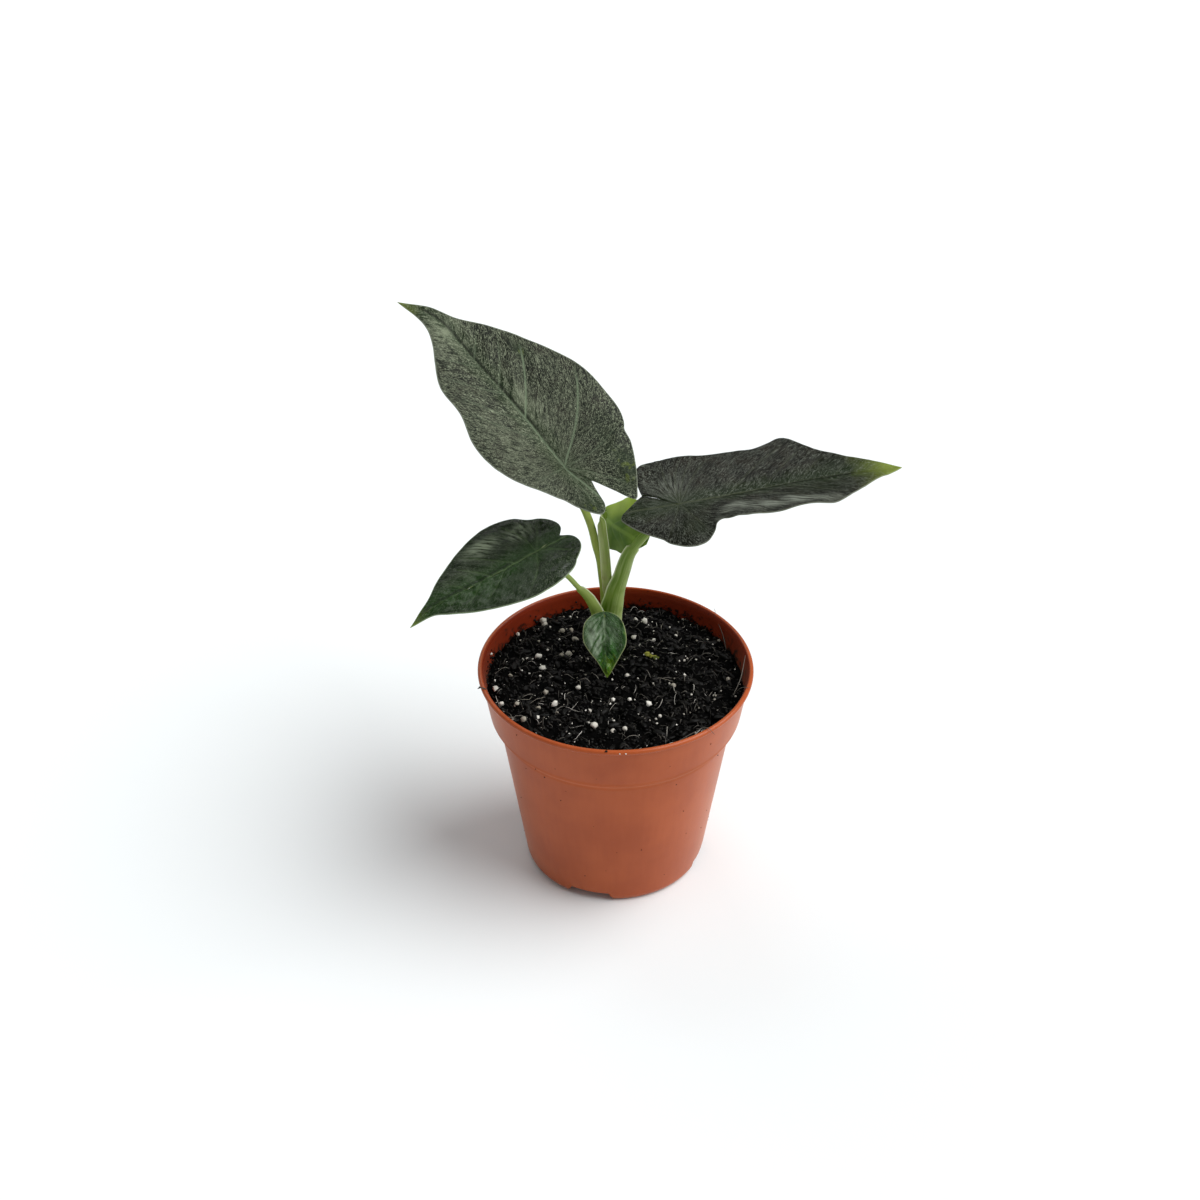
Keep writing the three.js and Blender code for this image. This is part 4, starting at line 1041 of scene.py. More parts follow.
def corm_surface():
    """A ball stretched to CORM_HALF. A wave along its height makes the rings, and noise the rough skin."""
    tilt, turn = np.meshgrid(np.linspace(-math.pi / 2, math.pi / 2, CORM_RINGS),
                             np.linspace(0, 2 * math.pi, CORM_TURNS, endpoint=False), indexing="ij")
    rings = 1 + RING_HEIGHT * np.sin(RING_WAVE * tilt + 2 * np.sin(turn)) * np.cos(tilt)
    skin = rings + SKIN_HEIGHT * layered_noise(4 * turn, 6 * tilt, 1.5, 3, 31) * np.cos(tilt)
    return np.stack([CROWN[0] + CORM_HALF[0] * skin * np.cos(tilt) * np.cos(turn),
                     CROWN[1] + CORM_HALF[1] * skin * np.cos(tilt) * np.sin(turn),
                     CORM_MIDDLE_Z + CORM_HALF[2] * np.sin(tilt)], -1)


def root_surface(number, turn, end_z):
    """A tube that leaves the crown at a turn and sinks to end_z, with a waved radius that tapers."""
    path = [(CROWN[0] * pull + reach * math.cos(turn), CROWN[1] * pull + reach * math.sin(turn), z)
            for pull, reach, z in ((1, 3, 65), (1, 10, 60), (0.7, 18, 42), (0.3, 24, end_z))]
    share = np.linspace(0, 1, ROOT_STEPS)
    waves = 1 + 0.04 * np.sin(70 * share + number)
    radius = (ROOT_RADIUS - ROOT_TAPER * smoothstep(share, 0, 1)) * waves * np.where(share > 0.97, 0.02, 1)
    return tube(smooth_path(path, power=0.5), radius, ROOT_SIDES, ROOT_STEPS)


points = [corm_surface().reshape(-1, 3)]
faces = [grid_faces(CORM_RINGS, CORM_TURNS, closed=True)]
shares = counted_shares(2 * ROOT_COUNT)
for i in range(ROOT_COUNT):
    turn = 2 * math.pi * (i + ROOT_TURN_SPREAD * shares[2 * i]) / ROOT_COUNT
    faces.append(grid_faces(ROOT_STEPS, ROOT_SIDES, closed=True, first=sum(map(len, points))))
    points.append(root_surface(i, turn, ROOT_END_Z + ROOT_END_SPREAD * shares[2 * i + 1]).reshape(-1, 3))
root_skin, tree, shader = start_material("corm_and_root_skin", {"Roughness": 0.6})
place = add_node(tree, "TexCoord").outputs["Object"]
spots = add_node(tree, "TexNoise", inputs={"Vector": place, "Scale": 1 / (ROOT_SPOT_MM * MM), "Detail": 4})
colour = add_node(tree, "Mix", COLOURS, {0: spots, 6: linear("#7d6243"), 7: linear("#d8c6a2")})
set_inputs(shader, {"Base Color": colour})
make_piece("corm_and_roots", np.vstack(points), faces, [root_skin],
           stands_for=["corm_with_roots"], weld=1e-4)

# %% [markdown]
# ## Stalks and sheaths
# Each stalk is round near its blade and opens to a sheath at its foot, a thin curved wing on either side
# that holds the next younger stalk. A bevelled curve would stay round all along, so a section that changes
# from a bent, thin-edged oval to a circle is carried along the stalk's path.

# %% Stalk surface
STALK_SIDES = 80
STALK_STEPS = 160
STALK_FOOT_Z = 80
UNDER_BLADE = 0.2
JOINT_REACH = (7, 4)
WING_THINNING = 0.45
SHEATH_FLATNESS = (1.25, 1.8)
LIP_SHARES = (0.9, 0.99)
RIB_COUNT, RIB_HEIGHT = 22, 0.015
BUMP_LENGTH, BUMP_HEIGHT = 9, 0.04


def rib_curve(leaf):
    """The midrib as a dense curve, its lengths, and the length at the joint with the stalk."""
    curve = smooth_path(leaf["rib"])
    lengths = lengths_along(curve)
    return curve, lengths, lengths[SPAN_POINTS]


def blade_length(leaf):
    """The midrib's length from the joint to the tip."""
    _, lengths, joint = rib_curve(leaf)
    return lengths[-1] - joint


def joint_frame(leaf):
    """The joint's place and the blade's upward direction there."""
    curve = rib_curve(leaf)[0]
    tangent = unit(np.gradient(curve, axis=0)[SPAN_POINTS])
    side = unit(np.cross(tangent, leaf["facing"]))
    return curve[SPAN_POINTS], np.cross(side, tangent)


def stalk_surface(stalk, leaf):
    """Rings of points round the stalk's path, and fields for its colours.

    A ring is an ellipse, across * sin and through * cos of the turn, whose edges are thinned to a sheath
    and bent back by bend * across^2. Near the joint, points over the blade's plane are moved onto it. lip
    is 1 at a sheath's edge. grain holds the turn, the length run and its share, for streaks along the stalk.
    """
    curve = smooth_path(stalk["path"], power=0.5)
    lengths = lengths_along(curve)
    foot = lengths[np.argmax(curve[:, 2] > STALK_FOOT_Z)]
    where = np.linspace(foot, lengths[-1], STALK_STEPS)
    share = where / lengths[-1]
    centre = take(curve, lengths, where)
    tangent = unit(take(np.gradient(curve, axis=0), lengths, where))
    side = unit(np.cross(tangent, unit(np.array(stalk["outward"], float))))
    out = np.cross(side, tangent)
    across, through, bend = (value_at(stalk["sections"], share, k)[:, None] for k in (1, 2, 3))
    turn = np.linspace(0, 2 * math.pi, STALK_SIDES, endpoint=False)[None, :]
    sheath = smoothstep(across / through, *SHEATH_FLATNESS)
    lip = sheath * smoothstep(np.abs(np.sin(turn)), *LIP_SHARES)
    ribs = RIB_HEIGHT * np.sin(RIB_COUNT * turn + 3 * np.sin(0.05 * where[:, None]))
    bumps = value_noise(3 * np.cos(turn), 3 * np.sin(turn) + where[:, None] / BUMP_LENGTH, 41)
    ribs = ribs + BUMP_HEIGHT * bumps
    aside = (across + ribs) * np.sin(turn)
    ahead = (through * (1 - WING_THINNING * sheath * np.abs(np.sin(turn)) ** 3) + ribs) * np.cos(turn)
    points = centre[:, None] + side[:, None] * aside[..., None]
    points = points + out[:, None] * (ahead - bend * aside**2)[..., None]
    joint, upward = joint_frame(leaf)
    above = np.maximum((points - joint) @ upward + UNDER_BLADE, 0)
    above = above * smoothstep(np.linalg.norm(points - joint, axis=-1), *JOINT_REACH)
    points = points - above[..., None] * upward
    grain = np.stack([turn + 0 * share[:, None], where[:, None] + 0 * turn, share[:, None] + 0 * turn], -1)
    return points, lip, grain


# %% [markdown]
# ## Petiole skin
# A stalk's skin is smooth and slightly waxy, with fine lengthwise veins and duller clouds. Light passes a
# little way into it, so subsurface scattering is used, and the thin sheath edges are pale. Streaks in object
# coordinates would run straight through a bent stalk, so they are made in its own turn and length.

# %% Petiole finish
LIP_COLOUR = "#dfe6bc"
STREAK_SCALE = (4.5, 0.07, 0)
BLUSH_MM = 7


def petiole_material(name, green, pale, blush):
    """Stalk skin: two greens, the paler one in streaks and, as painted light, on one side, a dull blush, and
    a pale lip.
    """
    material, tree, shader = start_material(name, {
        "Roughness": 0.42, "IOR": 1.42, "Specular IOR Level": 0.35, "Subsurface Weight": 0.12,
        "Subsurface Scale": 0.002, "Subsurface Radius": (0.6, 1, 0.2)})
    grain = add_node(tree, "Attribute", {"attribute_name": "grain"}).outputs["Vector"]
    streaks = add_node(tree, "Mapping", inputs={"Vector": grain, "Scale": STREAK_SCALE})
    streak = add_node(tree, "TexNoise", inputs={"Vector": streaks, "Scale": 1, "Detail": 4})
    place = add_node(tree, "TexCoord").outputs["Object"]
    cloud = add_node(tree, "TexNoise", inputs={"Vector": place, "Scale": 1 / (BLUSH_MM * MM), "Detail": 3})
    bands = add_node(tree, "MapRange", SMOOTH,
                     {"Value": streak, "From Min": 0.35, "From Max": 0.7, "To Max": 0.35})
    # Painted light: the stalk is paler on one side of its turn, as if lit there.
    turn = add_node(tree, "SeparateXYZ", inputs={"Vector": grain}).outputs["X"]
    aside = add_node(tree, "Math", {"operation": "SINE"}, {0: turn})
    painted_lit_side = add_node(tree, "MapRange", SMOOTH,
                      {"Value": aside, "From Min": -0.5, "From Max": 1.0, "To Max": 0.9})
    dull = add_node(tree, "MapRange", SMOOTH,
                    {"Value": cloud, "From Min": 0.5, "From Max": 0.75, "To Max": 0.6})
    lip = add_node(tree, "Attribute", {"attribute_name": "lip"}).outputs["Fac"]
    colour = linear(green)
    for share, tone in ((bands, pale), (painted_lit_side, pale), (dull, blush), (lip, LIP_COLOUR)):
        colour = add_node(tree, "Mix", COLOURS, {0: share, 6: colour, 7: linear(tone)})
    bump = add_node(tree, "Bump", inputs={"Height": streak, "Strength": 0.12, "Distance": 0.0002})
    set_inputs(shader, {"Base Color": colour, "Normal": bump})
    return material


# %% Stalks
# Colours of each stalk as (green, pale, blush).
STALK_TONES = {
    "small_front": ("#68882a", "#99b256", "#7a963a"),
    "back": ("#7e9440", "#b8c282", "#8c8a5c"),
    "upper_left": ("#768e24", "#a6b65a", "#929c50"),
    "right": ("#668622", "#c4d88c", "#7c9638"),
    "lower_left": ("#7a962c", "#a8bc68", "#a09c70"),
}
for name, stalk in STALKS.items():
    points, lip, grain = stalk_surface(stalk, LEAVES[name])
    skin = petiole_material("petiole_skin_" + name, *STALK_TONES[name])
    faces = grid_faces(STALK_STEPS, STALK_SIDES, closed=True, turned=True)
    ring = np.arange(STALK_SIDES)
    ends = np.vstack([ring, ring[::-1] + (STALK_STEPS - 1) * STALK_SIDES])
    make_piece("petiole_" + name, points.reshape(-1, 3), [faces, ends], [skin],
               stands_for=["stalk_" + name], fields={"lip": lip.ravel(), "grain": grain.reshape(-1, 3)})

# %% [markdown]
# ## Veins
# Side veins leave the joint like a fan and the midrib like the barbs of a feather, and never cross. Stream
# lines of water do the same when it wells up at the joint and all along the midrib, so the formula of that
# flow gives one smooth field. Its levels are the veins, its steepness gives distances in millimetres, and
# the velvet hairs lie along it. Drawing each vein as a curve by hand would leave the hairs without a course.

# %% Vein field
VEIN_LEAN = 0.15
VEIN_ARCH = 2.5
FAN_SHARE = 0.5
SMALL_STEP = 0.05


def vein_field(along, across, length):
    """Stream lines of a flow from the joint, with FAN_SHARE of it, and from the midrib with the rest.

    The joint's part is the angle seen from it. The midrib's part is the mean of the angles seen from all
    its points, (a * near - (a - L) * far + c * ln(r0 / r1)) / L. The flow leans and arches towards the
    tip, because points are first moved back along the rib by VEIN_LEAN * c + VEIN_ARCH * c^2 / L.
    """
    across = np.abs(across) + 1e-3
    along = along - VEIN_LEAN * across - VEIN_ARCH * across**2 / length
    near, far = np.arctan2(across, along), np.arctan2(across, along - length)
    ratio = np.log(np.hypot(along, across) / np.hypot(along - length, across))
    mean = (along * near - (along - length) * far + across * ratio) / length
    return FAN_SHARE * near + (1 - FAN_SHARE) * mean


def vein_levels(leaf, half, length):
    """The field's value on each main vein of one half."""
    starts = np.array(leaf["rib_veins"][half], float)
    angles = np.radians(np.array(leaf["joint_veins"][half], float))
    sheared = np.arctan2(np.sin(angles), np.cos(angles) - VEIN_LEAN * np.sin(angles))
    from_joint = FAN_SHARE * sheared + (1 - FAN_SHARE) * math.pi
    return np.concatenate([(1 - FAN_SHARE) * math.pi * (1 - starts / length), from_joint])


def vein_map(leaf, half, x, y, length):
    """The field over a half, the distance from each point to the nearest main vein, and how it shows."""
    field = vein_field(x, y, length)
    slope = np.hypot(vein_field(x + SMALL_STEP, y, length) - field,
                     vein_field(x, np.abs(y) + SMALL_STEP, length) - field) / SMALL_STEP
    levels = vein_levels(leaf, half, length)
    apart = np.abs(field[..., None] - levels)
    shows = np.full(len(levels), leaf["vein"])
    shows[leaf["clear_veins"][half]] = 1
    return field, apart.min(-1) / np.maximum(slope, 1e-4), shows[apart.argmin(-1)]


# %% [markdown]
# ## Blade surface
# A blade is about 0.7 mm thick with a rounded margin, a keel under the midrib, sunk veins above and raised
# ones below. A flat sheet with a solidify modifier has none of these, so each half is two grids, an upper
# and a lower one, that meet at the margin. Each point knows its flat place on the blade, and the surface
# adds up from there: midrib, fold, droop, waves, quilting between veins, and creases.

# %% Blade surface
HALF_THICKNESS = 0.36
MARGIN_HALF = 0.11
MARGIN_ROUND = 1.0
CREASE_WIDTH = 1.5
WAVE_REACH = 25
DROOP_REACH = 60
FAN_POWER = 1.8
KEEL_HEIGHT, KEEL_WIDTH = 0.8, 2
VEIN_WIDTH = 0.4
VEIN_RELIEF = 0.22
QUILT_HEIGHT, QUILT_WIDTH = 0.75, 3.2
SWELL_HEIGHT, SWELL_SIZE = 0.35, 11
CRUMPLE_SIZE = 4
GROOVE_DEPTH, GROOVE_WIDTH = 0.3, 0.7
COLUMN_CROWDING = 0.11
FLOW_SCALE = 0.4
HALVES_APART = 9
PALE_RIB_WIDTH = 0.45
SHADE_FROM_RIB, SHADE_WIDTH = 1.1, 0.7


def blade_middle(leaf, x, y):
    """The blade's middle surface over flat coordinates, and its upward directions.

    side and up are square to the midrib. Each half rises by sin(fold) times the distance out, less a droop
    with its square, plus waves that grow with its square. The crease at the midrib is rounded off.
    """
    curve, lengths, joint = rib_curve(leaf)
    length = lengths[-1] - joint
    where = np.clip(x + joint, 0, lengths[-1])
    tangent = unit(take(np.gradient(curve, axis=0), lengths, where))
    point = take(curve, lengths, where) + tangent * (x + joint - where)[..., None]
    side = unit(np.cross(tangent, unit(np.array(leaf["facing"], float))))
    up = np.cross(side, tangent)
    left = y > 0
    fold = np.where(left, value_at(leaf["fold_left"], x / length), value_at(leaf["fold_right"], x / length))
    droop = np.where(left, *leaf["droop"])
    rounded = np.hypot(y, CREASE_WIDTH)
    wave = leaf["wave"][0] * np.sin(2 * math.pi * x / leaf["wave"][1] + np.sign(y)) / WAVE_REACH**2
    rise = np.sin(fold) * (rounded - CREASE_WIDTH) - droop * y**2 / DROOP_REACH + wave * y**2
    steep = (np.sin(fold) * y / rounded - 2 * droop * y / DROOP_REACH + 2 * wave * y) / np.cos(fold)
    point = point + side * (y * np.cos(fold))[..., None] + up * rise[..., None]
    return point, unit(up - side * steep[..., None])


# %% Flat grid of a half


def half_grid(leaf, half, length, rows, columns):
    """Flat points of one half: row i from the notch round to the tip, column j from the midline out.

    The midline point of a row starts slowly, so that the rows fan out round the lobe. Columns are closer
    together at the midline and at the margin. Beside the points, the share of the way out is returned.
    """
    outline = smooth_path([leaf["notch"], *leaf[("left", "right")[half]], (length, 0)])
    lengths = lengths_along(outline)
    edge = take(outline, lengths, np.linspace(0, lengths[-1], rows))
    reach = math.hypot(*leaf["notch"])
    along = (length + reach) * np.linspace(0, 1, rows) ** FAN_POWER - reach
    back = np.maximum(-along, 0)[:, None] * np.array(leaf["notch"]) / reach
    middle = np.stack([np.maximum(along, 0), 0 * along], -1) + back
    even = np.linspace(0, 1, columns)
    share = (even - COLUMN_CROWDING * np.sin(2 * math.pi * even))[None, :, None]
    return middle[:, None] * (1 - share) + edge[:, None] * share, share[..., 0] + 0 * along[:, None]


# %% Both sides of a half


def blade_half(leaf, half, rows, columns, relief):
    """Upper and lower points of one half of a blade, and the fields that its colours use.

    flat holds x, y and the distance to the margin. flow holds the vein field and the distance run along
    it, both in mm, and a number that tells the halves apart. marks holds the shares of side veins, of the
    pale midrib, and of the painted shade beside it. pale is the sum of the patches, with their painted
    highlights and shade.
    """
    length = blade_length(leaf)
    flat, share = half_grid(leaf, half, length, rows, columns)
    x, y = flat[..., 0], flat[..., 1]
    edge = (1 - share) * np.linalg.norm(flat[:, -1:] - flat[:, :1], axis=-1)
    field, distance, shows = vein_map(leaf, half, x, y, length)
    vein = np.exp(-((distance / VEIN_WIDTH) ** 2)) * smoothstep(edge, 0, 9)
    vein = vein * smoothstep(length - x, 0, 0.2 * length)
    out = smoothstep(np.abs(y), 0, 5)
    quilt = relief * QUILT_HEIGHT * (1 - np.exp(-((distance / QUILT_WIDTH) ** 2))) * out
    quilt = quilt * smoothstep(edge, 0, 6)
    swell = relief * SWELL_HEIGHT * layered_noise(x, y, SWELL_SIZE, 3, 50 + half) * out
    crumple = leaf["crumple"] * layered_noise(x, 1.6 * y, CRUMPLE_SIZE, 3, 60 + half)
    swell = swell + crumple * smoothstep(edge, 0, 2)
    point, up = blade_middle(leaf, x, y)
    point = point + up * (quilt + swell)[..., None]
    round_share = np.clip(edge / MARGIN_ROUND, 0, 1)
    half_thick = MARGIN_HALF + (HALF_THICKNESS - MARGIN_HALF) * np.sqrt(1 - (1 - round_share) ** 2)
    fade = 1 - np.clip(x / length, 0, 1)
    groove = GROOVE_DEPTH * np.exp(-((y / GROOVE_WIDTH) ** 2)) * fade + VEIN_RELIEF * vein
    groove = relief * groove * smoothstep(edge, 0, 2)
    keel = KEEL_HEIGHT * (1 - np.linspace(0, 1, rows)[:, None]) * np.exp(-((y / KEEL_WIDTH) ** 2))
    ridge = VEIN_RELIEF * relief * vein
    upper = point + up * (half_thick - groove)[..., None]
    lower = point - up * (half_thick + (keel + ridge) * smoothstep(edge, 0, 2))[..., None]
    run = np.hypot(y, np.minimum(x, 0))
    flow = np.stack([field * length * FLOW_SCALE, run, HALVES_APART * half + 0 * x], -1)
    reach = x / length
    pale_rib = 0.8 * np.exp(-((y / PALE_RIB_WIDTH) ** 2)) * (1 - 0.75 * smoothstep(reach, 0.15, 0.55))
    # Painted shade: a dark line beside the midrib, where the groove lies in shadow.
    shade = 0.75 * np.exp(-(((y - SHADE_FROM_RIB) / SHADE_WIDTH) ** 2)) * smoothstep(reach, 0.02, 0.25)
    marks = np.stack([shows * vein ** 1.5, pale_rib, shade * smoothstep(edge, 0, 3)], -1)
    pale = sum(strength * np.exp(-(((x - along) / far) ** 2) - ((y - aside) / wide) ** 2)
               for along, aside, far, wide, strength in leaf["patches"])
    fields = {"flat": np.stack([x, y, edge], -1), "flow": flow, "marks": marks, "pale": pale}
    return upper, lower, fields


# %% [markdown]
# ## Velvet finish
# The upper side is covered in short hairs that lie along the veins, so it looks brushed: a dark green-grey
# ground with fine pale strokes. The strokes follow the hairs, and their paleness is the hairs' sheen,
# painted into the colour. It is greener near the midrib, paler along the margin, and yellow-green at the
# tip. A sheen on the shader gives a plain velvet without strokes. So the strokes are thin bands of a noise
# that is stretched in the flow's coordinates, which makes them follow every vein.

# %% Brush strokes
HAIR_SCALE = 1.2
GAP_SCALE = 0.45
LINE_HALF = 0.05


def brush_strokes(tree, strength, width_mm):
    """Strokes of painted sheen along the flow: thin lines where a stretched noise crosses its middle,
    with gaps in them.

    Returned are the noise itself, the lines, the lines with gaps, and the slower noise of the gaps.
    """
    flow = add_node(tree, "Attribute", {"attribute_name": "flow"}).outputs["Vector"]
    stretched = add_node(tree, "Mapping", inputs={"Vector": flow, "Scale": (HAIR_SCALE, 1 / width_mm, 1)})
    hairs = add_node(tree, "TexNoise", inputs={"Vector": stretched, "Scale": 1, "Detail": 2,
                                               "Distortion": 1.4})
    centred = add_node(tree, "Math", {"operation": "SUBTRACT"}, {0: hairs, 1: 0.5})
    from_line = add_node(tree, "Math", {"operation": "ABSOLUTE"}, {0: centred})
    line = add_node(tree, "MapRange", SMOOTH, {"Value": from_line, "From Min": LINE_HALF, "From Max": 0})
    slow = add_node(tree, "TexNoise", inputs={"Vector": stretched, "Scale": GAP_SCALE, "Detail": 2})
    gaps = add_node(tree, "MapRange", SMOOTH,
                    {"Value": slow, "From Min": 0.2, "From Max": 0.5, "To Max": strength})
    sheen_stroke = add_node(tree, "Math", {"operation": "MULTIPLY"}, {0: line, 1: gaps})
    return hairs, line, sheen_stroke, slow


# %% Pale, deep and yellow patches


def patch_shares(tree, cloud, slow):
    """How much of the paler, greener and yellow-green tones lies on each place, from the pale field.

    Clouds make a patch uneven, and the slow noise breaks its lighter parts into strokes, like glints on the
    hairs. The paler share is partly the leaf's own paler tone and partly painted highlight, and the greener
    share partly painted shade.
    """
    pale = add_node(tree, "Attribute", {"attribute_name": "pale"}).outputs["Fac"]
    uneven = add_node(tree, "Math", {"operation": "MULTIPLY_ADD"}, {0: cloud, 1: 0.8, 2: 0.6})
    pale = add_node(tree, "Math", {"operation": "MULTIPLY"}, {0: pale, 1: uneven})
    lit = add_node(tree, "MapRange", inputs={"Value": slow, "From Min": 0.38, "From Max": 0.62,
                                             "To Min": 0.1, "To Max": 1.7})
    lit = add_node(tree, "Math", {"operation": "MULTIPLY"}, {0: pale, 1: lit})
    paler = add_node(tree, "MapRange", inputs={"Value": lit})
    deeper = add_node(tree, "MapRange", inputs={"Value": pale, "From Min": 0, "From Max": -1, "To Max": 0.8})
    yellow = add_node(tree, "MapRange", inputs={"Value": lit, "From Min": -0.9, "From Max": -1.9,
                                                "To Max": 0.6})
    return paler, deeper, yellow


# %% Velvet material
CLOUD_SCALE = 0.11
RIM_REACH = (0.55, 0.1)
RIB_REACH = (4, -3.5)


def blade_material(name, tones, strokes, stroke_mm, roughness, gloss, length, tip_from):
    """The upper side of a blade. tones are dark, light, patch, green, vein, margin and tip colours.

    From the dark ground up, each layer is mixed over the last one by its own share.
    """
    dark, light, patch, green, vein_tone, margin, tip = (linear(tone) for tone in tones)
    material, tree, shader = start_material(name, {"Roughness": roughness, "IOR": 1.4,
                                                   "Specular IOR Level": gloss})
    hairs, line, sheen_stroke, slow = brush_strokes(tree, strokes, stroke_mm)
    flat = add_node(tree, "Attribute", {"attribute_name": "flat"}).outputs["Vector"]
    parts = add_node(tree, "SeparateXYZ", inputs={"Vector": flat}).outputs
    spread = add_node(tree, "Mapping", inputs={"Vector": flat, "Scale": (1, 1, 0)})
    cloud = add_node(tree, "TexNoise", inputs={"Vector": spread, "Scale": CLOUD_SCALE, "Detail": 4})
    patches = add_node(tree, "MapRange", SMOOTH,
                       {"Value": cloud, "From Min": 0.45, "From Max": 0.65, "To Max": 0.7})
    aside = add_node(tree, "Math", {"operation": "ABSOLUTE"}, {0: parts["Y"]})
    wander = add_node(tree, "Math", {"operation": "MULTIPLY_ADD"}, {0: cloud, 1: -9, 2: aside})
    near_rib = add_node(tree, "MapRange", SMOOTH, {"Value": wander, "From Min": RIB_REACH[0],
                                                   "From Max": RIB_REACH[1], "To Max": 0.75})
    paler, deeper, yellow = patch_shares(tree, cloud, slow)
    marks = add_node(tree, "Attribute", {"attribute_name": "marks"}).outputs["Vector"]
    marks = add_node(tree, "SeparateXYZ", inputs={"Vector": marks}).outputs
    rim = add_node(tree, "MapRange", SMOOTH, {"Value": parts["Z"], "From Min": RIM_REACH[0],
                                              "From Max": RIM_REACH[1], "To Max": 0.7})
    ragged = add_node(tree, "Math", {"operation": "MULTIPLY_ADD"},
                      {0: cloud, 1: 0.16 * length, 2: parts["X"]})
    end = add_node(tree, "MapRange", SMOOTH,
                   {"Value": ragged, "From Min": (tip_from + 0.05) * length, "From Max": 1.13 * length})
    # Painted light among the layers: the pale strokes are painted sheen, the paler patches partly painted
    # highlights, the greener patches partly painted shade, and the dark line by the midrib painted shade.
    layers = [(patches, patch), (near_rib, green), (paler, light), (sheen_stroke, light), (deeper, green),
              (yellow, tip), (marks["Z"], dark), (marks["X"], vein_tone), (marks["Y"], vein_tone),
              (rim, margin), (end, tip)]
    colour = dark
    for share, tone in layers:
        colour = add_node(tree, "Mix", COLOURS, {0: share, 6: colour, 7: tone})
    ridges = add_node(tree, "Math", {"operation": "MULTIPLY_ADD"}, {0: line, 1: 0.25, 2: hairs})
    bump = add_node(tree, "Bump", inputs={"Height": ridges, "Strength": 0.7, "Distance": 0.0005})
    set_inputs(shader, {"Base Color": colour, "Normal": bump})
    return material


# %% [markdown]
# ## Underside
# The lower side has no velvet: it is smooth, lighter and greyer, with raised light veins. It could be the
# same material with other colours. A plain one of its own is easier to read, and the faces of the lower
# grids take it as the piece's second material.

# %% Underside finish
PALE_MM = 5


def underside_material(name, ground, light, vein_tone):
    """The lower side of a blade: smooth, with light raised veins, and lighter in clouds and patches."""
    material, tree, shader = start_material(name, {"Roughness": 0.45, "IOR": 1.42,
                                                   "Specular IOR Level": 0.3})
    place = add_node(tree, "TexCoord").outputs["Object"]
    cloud = add_node(tree, "TexNoise", inputs={"Vector": place, "Scale": 1 / (PALE_MM * MM), "Detail": 4})
    pale = add_node(tree, "Attribute", {"attribute_name": "pale"}).outputs["Fac"]
    pale = add_node(tree, "Math", {"operation": "MULTIPLY_ADD"}, {0: cloud, 1: 0.8, 2: pale})
    pale = add_node(tree, "MapRange", inputs={"Value": pale, "From Min": 0.2, "From Max": 1.4})
    colour = add_node(tree, "Mix", COLOURS, {0: pale, 6: linear(ground), 7: linear(light)})
    flat = add_node(tree, "Attribute", {"attribute_name": "flat"}).outputs["Vector"]
    parts = add_node(tree, "SeparateXYZ", inputs={"Vector": flat}).outputs
    aside = add_node(tree, "Math", {"operation": "ABSOLUTE"}, {0: parts["Y"]})
    rib = add_node(tree, "MapRange", SMOOTH,
                   {"Value": aside, "From Min": 1.6, "From Max": 0.4, "To Max": 0.6})
    marks = add_node(tree, "Attribute", {"attribute_name": "marks"}).outputs["Vector"]
    lines = add_node(tree, "SeparateXYZ", inputs={"Vector": marks}).outputs["X"]
    both = add_node(tree, "Math", {"operation": "MAXIMUM"}, {0: rib, 1: lines})
    colour = add_node(tree, "Mix", COLOURS, {0: both, 6: colour, 7: linear(vein_tone)})
    set_inputs(shader, {"Base Color": colour})
    return material


# %% Blade colours
# Colours as dark, light, patch, green, vein, margin and tip, then how strong the strokes are, their width in
# mm, the roughness and the specular level.
BLADE_FINISH = {
    "upper_left": (("#0f150a", "#929b81", "#1c1912", "#182a0d", "#75856a", "#8d9482", "#76852a"),
                   0.95, 1.6, 0.5, 0.22),
    "right": (("#0b0c04", "#80867a", "#1d180f", "#142406", "#4e5440", "#7c8170", "#84943c"),
              0.55, 2.8, 0.36, 0.15),
    "lower_left": (("#122208", "#87937a", "#18230f", "#1f3f0e", "#5f754c", "#94a680", "#7d9436"),
                   0.25, 2, 0.22, 0.4),
    "back": (("#54781a", "#83a03e", "#5e8028", "#5b821e", "#8fab50", "#bcc68e", "#86a030"),
             0.4, 2, 0.4, 0.3),
    "small_front": (("#2f501d", "#a3b59b", "#3a5a28", "#336424", "#8fa681", "#bcc68e", "#66880c"),
                    0.4, 2, 0.22, 0.45),
}
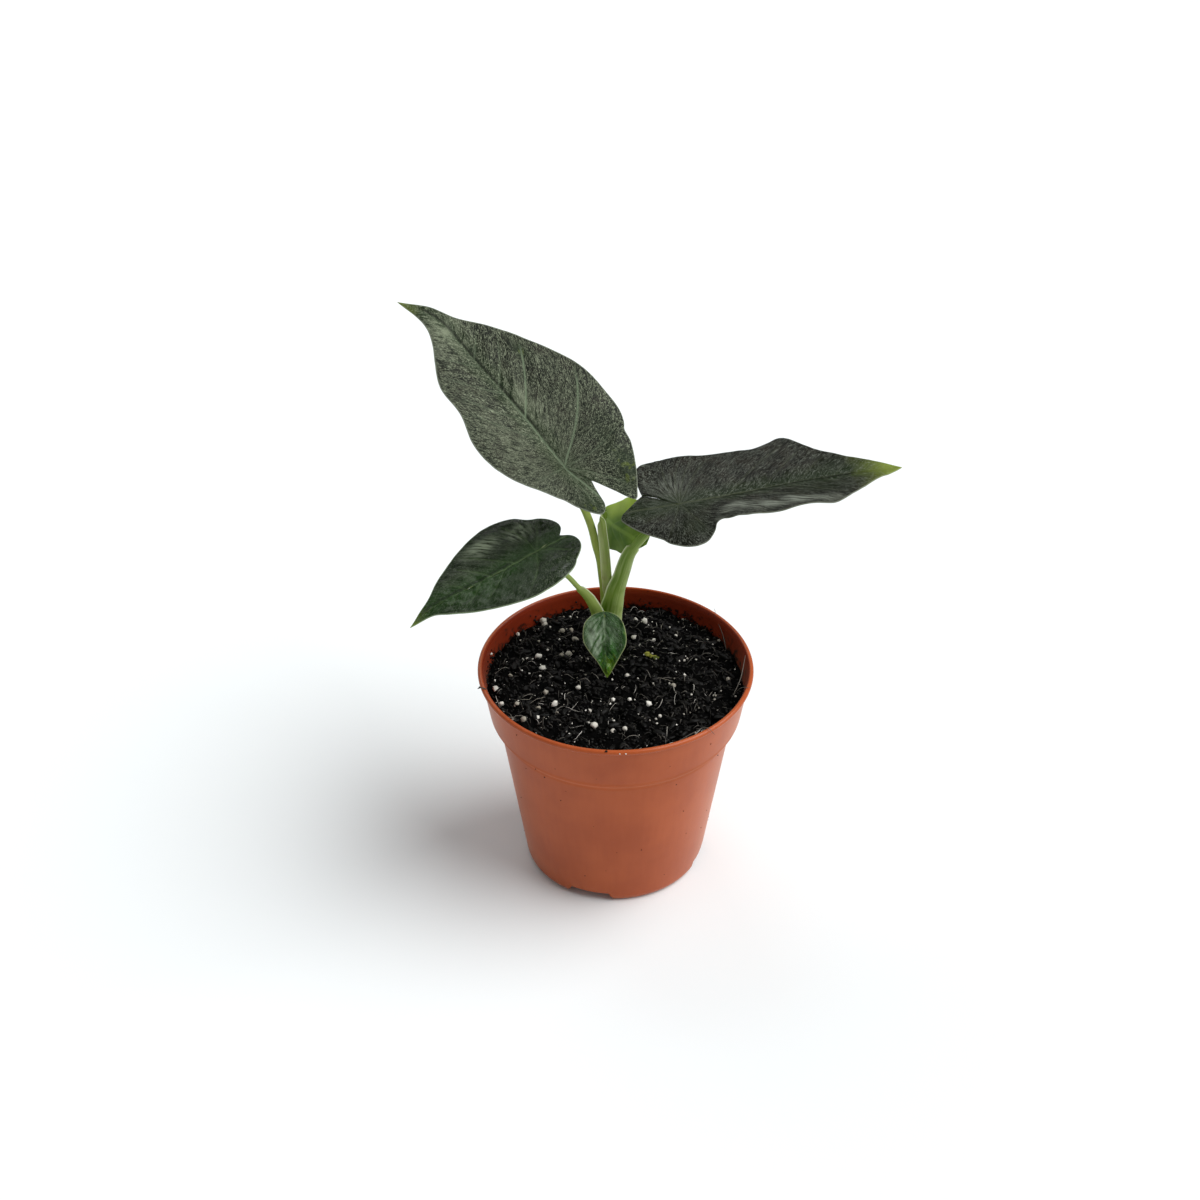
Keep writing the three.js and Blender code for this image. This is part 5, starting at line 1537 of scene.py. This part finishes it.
UNDERSIDE = {
    "dark": underside_material("blade_underside_dark", "#5a6a48", "#83906a", "#a9b47e"),
    "young": underside_material("blade_underside_young", "#4a6a16", "#a2ba48", "#7f9c40"),
}

# %% Blade pieces
ROWS_PER_MM, LEAST_ROWS = 3.1, 140
COLUMNS_PER_MM, LEAST_COLUMNS = 0.6, 40
FULL_RELIEF_LENGTH = 60


def blade_mesh(leaf, length):
    """Points, faces, the material number of each face, and the fields of a whole blade.

    The four grids are the upper and lower side of the left half, then of the right half. A strip of faces
    along the margin joins the two sides of each half, and the halves meet at the midrib.
    """
    rows = max(LEAST_ROWS, int(ROWS_PER_MM * length))
    columns = max(LEAST_COLUMNS, int(COLUMNS_PER_MM * length))
    relief = min(1, length / FULL_RELIEF_LENGTH)
    halves = [blade_half(leaf, half, rows, columns, relief) for half in (0, 1)]
    points = np.concatenate([side.reshape(-1, 3) for upper, lower, _ in halves for side in (upper, lower)])
    size = rows * columns
    faces = [grid_faces(rows, columns, first=k * size, turned=k in (1, 2)) for k in range(4)]
    last = np.arange(rows - 1) * columns + columns - 1
    for half in (0, 1):
        top, low = 2 * half * size + last, (2 * half + 1) * size + last
        strip = np.stack([top, top + columns, low + columns, low], -1)
        faces.append(strip if half else strip[:, ::-1])
    zones = np.concatenate([np.full(len(part), k in (1, 3)) for k, part in enumerate(faces)])
    fields = {}
    for key, width in (("flat", 3), ("flow", 3), ("marks", 3), ("pale", 1)):
        both_sides = [halves[half][2][key].reshape(-1, width) for half in (0, 0, 1, 1)]
        fields[key] = np.squeeze(np.concatenate(both_sides))
    return points, faces, zones, fields


for name, leaf in LEAVES.items():
    length = blade_length(leaf)
    points, faces, zones, fields = blade_mesh(leaf, length)
    age = "young" if name in ("back", "small_front") else "dark"
    velvet = blade_material("velvet_blade_" + name, *BLADE_FINISH[name], length, leaf["tip"])
    make_piece("leaf_" + name, points, faces, [velvet, UNDERSIDE[age]],
               stands_for=["blade_" + name], fields=fields, zones=zones, weld=1e-4)
